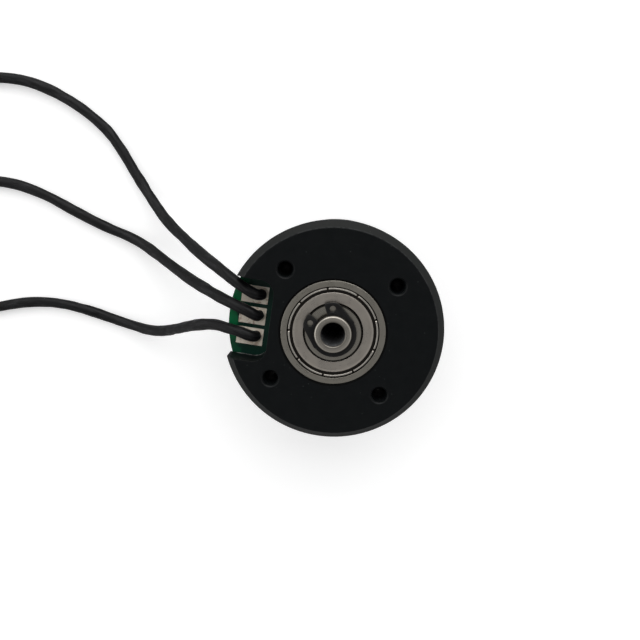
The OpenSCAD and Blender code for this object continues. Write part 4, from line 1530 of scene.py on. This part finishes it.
@dataclass
class StatorWinding:
    """Laminated core with twelve wound coils, of which each phase has four.

    Attributes:
        inner_x: Where the windings begin, from the axis.
        outer_x: Where they end.
        middle_z: Height of the core's middle.
        hole: Half width and half height of the tooth with its insulation.
        hole_round: Rounding of its corners.
        hull: Half width and half height of the whole coil.
        hull_round: Rounding of its corners.
        turns: Turns of wire side by side.
        per_turn: Points across each.
        relief: How far the surface falls between the turns, over the coil's thickness.
        ends: Shares of the thickness from the last turn round the coil's inside to the first.
        crossing: Half width over which the wires step on to the next turn.
        slots: Teeth of the core.
        wall: Half the gap between neighbouring coils.
        phases: Coils of each phase.
    """

    inner_x: float = 12.66
    outer_x: float = 16.75
    middle_z: float = -17.0
    hole: Pair = (1.78, 7.03)
    hole_round: float = 0.5
    hull: Pair = (3.78, 8.98)
    hull_round: float = 1.5
    turns: int = 8
    per_turn: int = 8
    relief: float = 0.13
    ends: tuple[float, ...] = (0.6, 0.0, 0.0, 0.6)
    crossing: float = 1.5
    slots: int = 12
    wall: float = 0.2
    phases: dict[str, tuple[int, ...]] = field(
        default_factory=lambda: {"u": (0, 1, 6, 7), "v": (2, 3, 8, 9), "w": (4, 5, 10, 11)})

    def loop(self, half: Pair, size: float) -> np.ndarray:
        """Rounded rectangle round a tooth, with straight sides split so that two loops match.

        Args:
            half: Half width and half height.
            size: Rounding of its corners.

        Returns:
            Rows of y and z.
        """
        corners = np.array(half) * [(1, 1), (-1, 1), (-1, -1), (1, -1)]
        return with_middles(rounded_loop(corners, size, 9))

    def coil(self) -> np.ndarray:
        """One coil on the +X side, between the inner loop and the outer one.

        A point at share t between the loops lies at inner + t (outer - inner). Over the outside, t falls
        between the turns as 1 - w (1 - sqrt(1 - u^2)), where u runs from -1 to 1 over each wire.

        Returns:
            An array (n, m, 3), with the loops' points along the first axis.
        """
        inner, outer = self.loop(self.hole, self.hole_round), self.loop(self.hull, self.hull_round)
        x = np.linspace(self.inner_x, self.outer_x, self.turns * self.per_turn + 1)
        u = 2 * ((np.arange(len(x)) / self.per_turn) % 1.0) - 1.0
        crest = 1.0 - self.relief * (1.0 - np.sqrt(np.clip(1.0 - u ** 2, 0.0, 1.0)))
        x = np.concatenate([x, [self.outer_x, self.outer_x, self.inner_x, self.inner_x]])
        share = np.concatenate([crest, self.ends])
        flat = inner[:, None] + share[None, :, None] * (outer - inner)[:, None]
        limit = x * np.tan(np.pi / self.slots) - self.wall
        y = flat[..., 0] * np.minimum(1.0, limit[None] / self.hull[0])
        y = np.where(np.abs(flat[..., 0]) < self.hole[0] + 0.01, flat[..., 0], y)
        step = 0.5 * (self.outer_x - self.inner_x) / self.turns
        slant = step * np.tanh(flat[..., 0] / self.crossing) * (flat[..., 1] > 0)
        return np.stack([x[None] + slant * (share > 0.8), y, flat[..., 1] + self.middle_z], axis=-1)

    def build(self, shop: Workshop) -> None:
        """Builds the coils of each phase, and keeps the core, its insulation and the wire ends.

        Args:
            shop: The workshop that dresses the pieces.
        """
        coil = self.coil()
        for phase, numbers in self.phases.items():
            form = Form()
            for k in numbers:
                form.grid(turned(coil, 360.0 * k / self.slots), wrap=(True, True))
            coils = form.piece(f"wound_coils_{phase}", 50.0)
            shop.finish(coils, "stator", "enamelled_copper", f"coils_phase_{phase}")
        shop.keep("stator_core", "end_insulators", "winding_tails")


@dataclass
class ConnectionBoard:
    """Green board under the notch with three tinned pads and the solder at the leads' feet.

    Attributes:
        ease: Width of the rounding on the board's edges.
        top: Height of the board's surface.
        rows: Places of the pads along Y.
        pad_x: Where the pads begin and end.
        pad_w: Width of a pad.
        pad_round: Rounding of its corners.
        tin_t: Thickness of its tin.
        dome: How far the tin swells.
        foot_x: Place of the leads' feet along X.
        foot_off: How far each lies from its pad's middle.
        foot_r: Radius of a foot.
        flare: Least radius past the foot's, width of the lobed flare, and width of its cone.
        lobes: Height of the second and the third lobe.
        joint_z: Height of the solder above the board at its foot, and how far it climbs.
        seeds: First seed of the pads and of the joints.
    """

    ease: float = 0.07
    top: float = -6.4
    rows: tuple[float, ...] = (4.65, 0.0, -4.65)
    pad_x: Pair = (-20.7, -14.9)
    pad_w: float = 3.8
    pad_round: float = 0.16
    tin_t: float = 0.1
    dome: float = 0.05
    foot_x: float = -16.4
    foot_off: float = 0.3
    foot_r: float = 1.35
    flare: tuple[float, float, float] = (-0.25, 0.22, 0.12)
    lobes: Pair = (0.18, 0.12)
    joint_z: Pair = (0.08, 0.45)
    seeds: tuple[int, int] = (11, 31)

    def pad(self, row: float, seed: int) -> np.ndarray:
        """One tinned pad: a rounded rectangle shrunk to its middle, its height swelling as 1 - t^4.

        Args:
            row: Its place along Y.
            seed: Seed of the ripples in the tin.

        Returns:
            An array (n, m, 3).
        """
        start, end = self.pad_x
        half = np.array([(end - start) / 2, self.pad_w / 2])
        corners = half * np.array([(1, 1), (-1, 1), (-1, -1), (1, -1)])
        edge = with_middles(rounded_loop(corners, self.pad_round, 8))
        t = np.concatenate([[1.0], np.linspace(1.0, 0.02, 22)])[:, None, None]
        flat = edge[None] * t
        wobble = np.random.default_rng(seed).uniform(0.0, 2 * np.pi, 4)
        waves = np.sin(1.1 * flat[..., 0] + wobble[0]) + np.sin(1.7 * flat[..., 1] + wobble[1])
        ripple = 0.5 + 0.25 * waves
        rise = self.tin_t * 0.5 + (self.tin_t * 0.5 + self.dome * ripple) * (1 - t[..., 0] ** 4)
        rise[0] = -0.01
        return np.stack([flat[..., 0] + (start + end) / 2, flat[..., 1] + row, self.top + rise], axis=-1)

    def joint(self, row: float, seed: int) -> np.ndarray:
        """Solder round a foot: a lobed flare whose radius falls as (1 - t)^2, on a cone.

        Args:
            row: Place of its pad along Y.
            seed: Seed of its lobes.

        Returns:
            An array (n, m, 3).
        """
        a, t = circle(48), np.linspace(0.0, 1.0, 10)[:, None]
        phase = np.random.default_rng(seed).uniform(0.0, 2 * np.pi, 2)
        lobes = 1.0 + self.lobes[0] * np.cos(2 * a + phase[0]) + self.lobes[1] * np.cos(3 * a + phase[1])
        least, wide, cone = self.flare
        radius = self.foot_r + least + wide * lobes * (1 - t) ** 2 + cone * (1 - t)
        low, climb = self.joint_z
        height = self.top + low + climb * t * np.ones_like(a)
        return revolve(radius, height, a) + np.array([self.foot_x, row + self.foot_off, 0.0])

    def build(self, shop: Workshop) -> None:
        """Builds the board, pads and joints.

        Args:
            shop: The workshop that dresses the pieces.
        """
        board = eased("connection_board", "green_board", self.ease)
        shop.finish(board, "stator", "solder_mask", "connection_board")
        for name, shape, seed, node in (("tinned_pads", self.pad, self.seeds[0], "solder_pads"),
                                        ("foot_solder", self.joint, self.seeds[1], "solder_joints")):
            form = Form()
            for k, row in enumerate(self.rows):
                form.grid(shape(row, seed + k), wrap=(False, True), caps=True)
            shop.finish(form.piece(name), "stator", "tin", node)


@dataclass
class Lead:
    """One sleeved lead from its pad out through the notch and down to what the motor stands on.

    Attributes:
        phase: Letter of its phase.
        route: The route's points, the same as in the part's source.
        length: Length along its centreline in metres; not used.
        twist: Length of one turn of its flattened section.
        seed: Seed of its creases.
        diameter: Outer diameter of the sleeve.
        per_span: Points between two of the route's points.
        sides: Points round the sleeve.
        girth: Share of the diameter that the mean section has.
        flat: How far the section is flattened.
        facets: Height of its five facets.
        creases: Height of the creases.
        fullest: Greatest radius over the mean one.
        close: Length over which the sleeve's ends close in.
        close_to: Share of the radius that is left there.
        slim: How much slimmer the lead is at its foot.
        slim_to: Length over which it grows to its full girth.
        strand_d: Diameter of the bare strand.
        strand_l: Length of the bare strand.
        strand_in: How far the strand reaches into the sleeve.
        strand_relief: Depth between its wires, over its radius.
        strand_lay: Turn of the wires in radians to a millimetre.
    """

    phase: str
    route: list[Point]
    length: float
    twist: float
    seed: int
    diameter: float = 2.7
    per_span: int = 14
    sides: int = 40
    girth: float = 0.955
    flat: float = 0.045
    facets: float = 0.018
    creases: float = 0.012
    fullest: float = 1.045
    close: float = 0.5
    close_to: float = 0.7
    slim: float = 0.09
    slim_to: float = 12.0
    strand_d: float = 1.6
    strand_l: float = 5.0
    strand_in: float = 0.4
    strand_relief: float = 0.14
    strand_lay: float = 0.9

    def section(self, s: np.ndarray) -> tuple[np.ndarray, np.ndarray]:
        """Radius r (1 + flat cos 2(a - w) + facets cos 5(a - w) + creases) at each length s and angle a.

        Args:
            s: Distances along the lead.

        Returns:
            Sections (n, m, 2) and the angles.
        """
        rng = np.random.default_rng(self.seed)
        a = circle(self.sides)[None]
        waves = sum(rng.uniform(0.4, 1.0) * np.sin(s * rng.uniform(0.08, 0.5) + rng.uniform(0, 6.3))
                    for _ in range(5))
        turn = (2 * np.pi * s / self.twist + 0.35 * waves)[:, None]
        crease = sum(rng.uniform(0.3, 1.0) * np.sin(s[:, None] * rng.uniform(0.3, 1.6) + k * a
                                                    + rng.uniform(0, 6.3)) for k in (1, 2, 3, 4))
        shape = (1 + self.flat * np.cos(2 * (a - turn)) + self.facets * np.cos(5 * (a - turn))
                 + self.creases * crease)
        ends = np.clip(np.minimum(s, s[-1] - s) / self.close, 0.0, 1.0)
        close = np.sqrt(np.clip(1 - (1 - ends) ** 2, 0.0, 1.0)) * (1 - self.close_to) + self.close_to
        slim = 1.0 - self.slim * np.clip(1.5 * (1 - s / self.slim_to), 0.0, 1.0)
        radius = self.girth * self.diameter / 2 * np.minimum(shape, self.fullest) * (close * slim)[:, None]
        return polar(radius, a), a

    def build(self, shop: Workshop) -> None:
        """Args:
            shop: The workshop that dresses the pieces.
        """
        path = through(np.array(self.route), self.per_span)
        s = np.concatenate([[0.0], np.cumsum(np.linalg.norm(np.diff(path, axis=0), axis=1))])
        section, a = self.section(s)
        grid = sweep(path, section, (0.0, 1.0, 0.0))
        around = self.diameter / 2
        lay = np.stack(np.broadcast_arrays(s[:, None], around * np.cos(a), around * np.sin(a)), axis=-1)
        sleeve = Form().grid(grid, wrap=(False, True), caps=True, lay=lay).piece(f"sleeve_{self.phase}", 60.0)
        shop.finish(sleeve, "stator", "lead_sleeve", f"lead_{self.phase}")
        strand = self.strand(shop, path[-1], unit(path[-1] - path[-2]))

    def strand(self, shop: Workshop, start: np.ndarray, along: np.ndarray) -> bpy.types.Object:
        """Builds the tinned strand: seven twisted wires as a section of lobes that turns along its length.

        Args:
            shop: Where it is dressed.
            start: End of the lead's route.
            along: Direction of the route there.

        Returns:
            The strand.
        """
        s = np.linspace(-self.strand_in, self.strand_l - 0.05, 60)
        a = circle(56)[None]
        wires = np.abs(np.cos(3.5 * (a - self.strand_lay * s[:, None])))
        lobes = 1.0 - self.strand_relief + self.strand_relief * wires
        tip = np.sqrt(np.clip((s[-1] + 0.02 - s) / 0.5, 0.05, 1.0))[:, None]
        path = start + s[:, None] * along
        grid = sweep(path, polar(self.strand_d / 2 * lobes * tip, a), (0.0, 1.0, 0.0))
        piece = Form().grid(grid, wrap=(False, True), caps=True).piece(f"strand_{self.phase}", 50.0)
        return shop.finish(piece, "stator", "tin", "lead_strands")


LEADS = (
    Lead("u", [(-16.4, 4.9, -6), (-16.4, 4.9, -5.6), (-16.6, 4.9, -4.9), (-17.1, 5, -4.3),
               (-18, 5.2, -4), (-19.8, 5.9, -4.2), (-22.6, 7.2, -4.8), (-25.3, 8.4, -6.4),
               (-28.8, 9.8, -9.3), (-33.4, 11.5, -14.2), (-37.9, 13.4, -19.3), (-42, 15.3, -23.6),
               (-46, 18, -27), (-50, 21.7, -29.4), (-54, 26.2, -30.4), (-58, 31.2, -30.6),
               (-61.5, 35, -30.6), (-65, 37.6, -30.6), (-70, 40.4, -30.6), (-76, 42.8, -30.6),
               (-82, 44.2, -30.6), (-88, 44.4, -30.6), (-94, 43.4, -30.6), (-99.5, 41.2, -30.6)],
         0.1067, 34.0, 5),
    Lead("v", [(-16.4, 0.3, -6), (-16.4, 0.3, -5.6), (-16.6, 0.3, -4.9), (-17.1, 0.5, -4.3),
               (-18, 0.9, -4), (-19.8, 1.5, -4.2), (-22.7, 2.3, -4.9), (-25.9, 2.9, -7),
               (-29.8, 3.6, -10.7), (-33.9, 4.3, -15.2), (-37.9, 5.2, -19.6), (-42, 6.4, -23.4),
               (-46, 7.8, -26.6), (-50, 9.3, -29), (-54, 10.5, -30.2), (-58.5, 11.6, -30.6),
               (-63, 12.9, -30.6), (-69, 15, -30.6), (-75, 17.2, -30.6), (-81, 18.8, -30.6),
               (-87, 19.4, -30.6), (-93, 18.8, -30.6), (-99, 17.2, -30.6), (-104.5, 14.8, -30.6)],
         0.1024, 41.0, 6),
    Lead("w", [(-16.4, -4.3, -6), (-16.4, -4.3, -5.6), (-16.6, -4.3, -4.9), (-17.1, -4.2, -4.3),
               (-18, -4, -4), (-19.8, -3.6, -4.2), (-22.6, -3.4, -4.9), (-25.8, -3.5, -7),
               (-29.3, -4.6, -10.1), (-32.9, -6.3, -14.2), (-36.9, -8.5, -19), (-41, -10.5, -23.2),
               (-45, -11.7, -26.6), (-49, -12, -29), (-53.5, -11.6, -30.2), (-58, -10.9, -30.6),
               (-63, -10, -30.6), (-69, -9.4, -30.6), (-75, -9.6, -30.6), (-81, -10.8, -30.6),
               (-87, -12.8, -30.6), (-93, -15, -30.6), (-99, -16.8, -30.6), (-105, -17.6, -30.6)],
         0.1025, 37.0, 7),
)


@dataclass
class Rotor:
    """Flux ring with its magnets, and the bell with its windows, screw holes and grub screws.

    Attributes:
        ring_r: Outer and inner radius of the flux ring.
        ring_z: Heights of its lower and its upper end.
        ring_rounds: Rounding of its corners, from the lower inner one round the outside.
        magnet_ease: Width of the rounding on the magnets' edges.
        bell_ease: The same on the bell.
        screw_ease: The same on the grub screws.
        hole_ring: Radius of the circle of the propeller's screw holes.
        thread: The thread in each hole.
    """

    ring_r: Pair = (23.0, 21.0)
    ring_z: Pair = (-27.2, -8.4)
    ring_rounds: tuple[float, ...] = (0.1, 0.1, 0.35, 0.2)
    magnet_ease: float = 0.15
    bell_ease: float = 0.12
    screw_ease: float = 0.08
    hole_ring: float = 8.0
    thread: ScrewThread = field(default_factory=lambda: ScrewThread(1.25, 0.5, 0.16, -27.5, 4.2))

    def build(self, shop: Workshop) -> None:
        """Builds the pieces of the rotor.

        Args:
            shop: The workshop that dresses the pieces.
        """
        (out, inner), (low, high) = self.ring_r, self.ring_z
        corners = np.array([(inner, low), (out, low), (out, high), (inner, high)])
        loop = rounded_loop(corners, np.array(self.ring_rounds), 6)
        ring = Form().grid(revolve(loop[:, 0], loop[:, 1], circle(180)), wrap=(True, True))
        shop.finish(ring.piece("steel_flux_ring"), "rotor", "flux_ring_steel", "flux_ring")
        magnets = eased("magnets", "arc_magnets", self.magnet_ease, 3)
        shop.finish(magnets, "rotor", "magnet_nickel", "magnets")
        shop.finish(eased("bell", "bell_end", self.bell_ease, 3), "rotor", "black_anodised", "bell")
        screws = eased("grub_screws", "grub_screw_pair", self.screw_ease)
        shop.finish(screws, "rotor", "black_oxide", "grub_screws")
        threads = self.thread.four(self.hole_ring, 0.0).piece("propeller_threads")
        shop.finish(threads, "rotor", "black_anodised")


@dataclass
class Studio:
    """Pale floor, soft lamps, world and the camera of the photograph.

    Attributes:
        lens: Focal length of the camera.
        sensor: Width of its sensor.
        clip: Nearest and farthest distance that it sees, in metres.
        place: Its place.
        right: Direction of the picture's right side.
        upward: Direction of its upper side.
        back: Direction from the motor to the camera.
        floor_z: Height of the floor.
        floor_half: Half the floor's width.
        pale: The two tones of the floor that the camera sees.
        bounced: The floor's tone in the light that it throws back.
        glow_r: Distances from the axis between which the floor's glow grows.
        glow: The glow at each.
        lamps: Name, place, size, and power in watts, of each lamp.
        zenith: Strength of the world's light from overhead.
        slope: How much stronger it is for each radian away from there.
        lean: How much stronger it is on the +Y side.
    """

    lens: float = 34.82
    sensor: float = 36.0
    clip: Pair = (0.005, 10.0)
    place: Point = (-2.167, 25.244, 126.125)
    right: Point = (0.98830504, 0.14864224, -0.03403878)
    upward: Point = (-0.15232746, 0.97264114, -0.17540111)
    back: Point = (0.0070355, 0.17853485, 0.98390844)
    floor_z: float = -32.04
    floor_half: float = 3000.0
    pale: tuple[Colour, Colour] = ((0.80, 0.80, 0.80), (0.82, 0.82, 0.82))
    bounced: Colour = (0.4, 0.4, 0.4)
    glow_r: Pair = (120.0, 700.0)
    glow: Pair = (0.4, 0.72)
    lamps: tuple[tuple[str, Point, float, float], ...] = (
        ("key_lamp", (-40.0, 560.0, 400.0), 800.0, 3.2),
        ("left_lamp", (-480.0, -80.0, 260.0), 500.0, 0.6),
    )
    zenith: float = 0.16
    slope: float = 0.56
    lean: float = 0.45

    def camera(self) -> None:
        """Places the camera that was fitted to the photograph."""
        data = bpy.data.cameras.new("camera")
        data.lens = self.lens
        data.sensor_width = self.sensor
        data.clip_start, data.clip_end = self.clip
        camera = bpy.data.objects.new("camera", data)
        bpy.context.scene.collection.objects.link(camera)
        turn = Matrix((self.right, self.upward, self.back)).transposed().to_4x4()
        camera.matrix_world = Matrix.Translation([v * MM for v in self.place]) @ turn
        bpy.context.scene.camera = camera

    def floor(self) -> None:
        """Builds the floor, which is white to the camera and keeps the soft shadow."""
        span = np.linspace(-self.floor_half, self.floor_half, 9)
        x, y = np.meshgrid(span, span, indexing="ij")
        floor = Form().grid(np.stack([x, y, np.full_like(x, self.floor_z)], axis=-1)).piece("floor")
        paint = Paint("pale_floor")
        cloth = paint.noise(paint.place(), 0.05, 3.0)
        seen = paint.add("ShaderNodeLightPath").outputs["Is Camera Ray"]
        glow = paint.between(paint.radius(), *self.glow_r, *self.glow)
        for key, value in (("Base Color", paint.mix(seen, self.bounced, paint.mix(cloth, *self.pale))),
                           ("Roughness", 0.9), ("Specular IOR Level", 0.1),
                           ("Emission Color", (1.0, 1.0, 1.0, 1.0)),
                           ("Emission Strength", paint.math("MULTIPLY", seen, glow))):
            paint.plug(paint.skin.inputs[key], value)
        floor.data.materials.append(paint.material)

    def light(self) -> None:
        """Builds the lamps, each turned to face the origin."""
        for name, spot, size, power in self.lamps:
            data = bpy.data.lights.new(name, "AREA")
            data.size = size * MM
            data.energy = power
            lamp = bpy.data.objects.new(name, data)
            bpy.context.scene.collection.objects.link(lamp)
            aim = Matrix.Translation([v * MM for v in spot]).translation
            lamp.rotation_mode = "QUATERNION"
            lamp.location = aim
            lamp.rotation_quaternion = aim.to_track_quat("Z", "Y")

    def world(self) -> None:
        """Builds a world that is dim overhead, bright at the horizon and white to the camera.

        In a direction of length one its strength is (zenith + slope * arccos z) * (1 + lean * y).
        """
        world = bpy.data.worlds.new("studio")
        bpy.context.scene.world = world
        world.use_nodes = True
        sky = Nodes(world.node_tree)
        ground = sky.tree.nodes["Background"]
        spot = sky.add("ShaderNodeTexCoord").outputs["Generated"]
        _, y, z = sky.add("ShaderNodeSeparateXYZ", {0: spot}).outputs
        level = sky.math("MULTIPLY_ADD", sky.math("ARCCOSINE", z), self.slope, self.zenith)
        level = sky.times(level, sky.math("MULTIPLY_ADD", y, self.lean, 1.0))
        seen = sky.add("ShaderNodeLightPath").outputs["Is Camera Ray"]
        sky.plug(ground.inputs["Strength"], sky.add("ShaderNodeMix", {0: seen, 2: level, 3: 1.0}).outputs[0])
        ground.inputs["Color"].default_value = (1.0, 1.0, 1.0, 1.0)

    def build(self) -> None:
        """Builds the whole studio."""
        self.camera()
        self.floor()
        self.light()
        self.world()
        bpy.context.scene.view_settings.view_transform = "Standard"


def main() -> None:
    """Builds the studio, then each sub-assembly in order."""
    logging.basicConfig(level=logging.INFO, format="%(name)s: %(message)s")
    Studio().build()
    shop = Workshop()
    for lead in LEADS:
        lead.build(shop)
    MountingPlate().build(shop)
    BallBearing("rear", -3.8, 22.0, 7.0, 3.969).build(shop)
    BallBearing("front", -23.9, 16.0, 5.0, 2.0).build(shop)
    MotorShaft().build(shop)
    RetainingRing().build(shop)
    StatorWinding().build(shop)
    ConnectionBoard().build(shop)
    Rotor().build(shop)


if __name__ == "__main__":
    main()
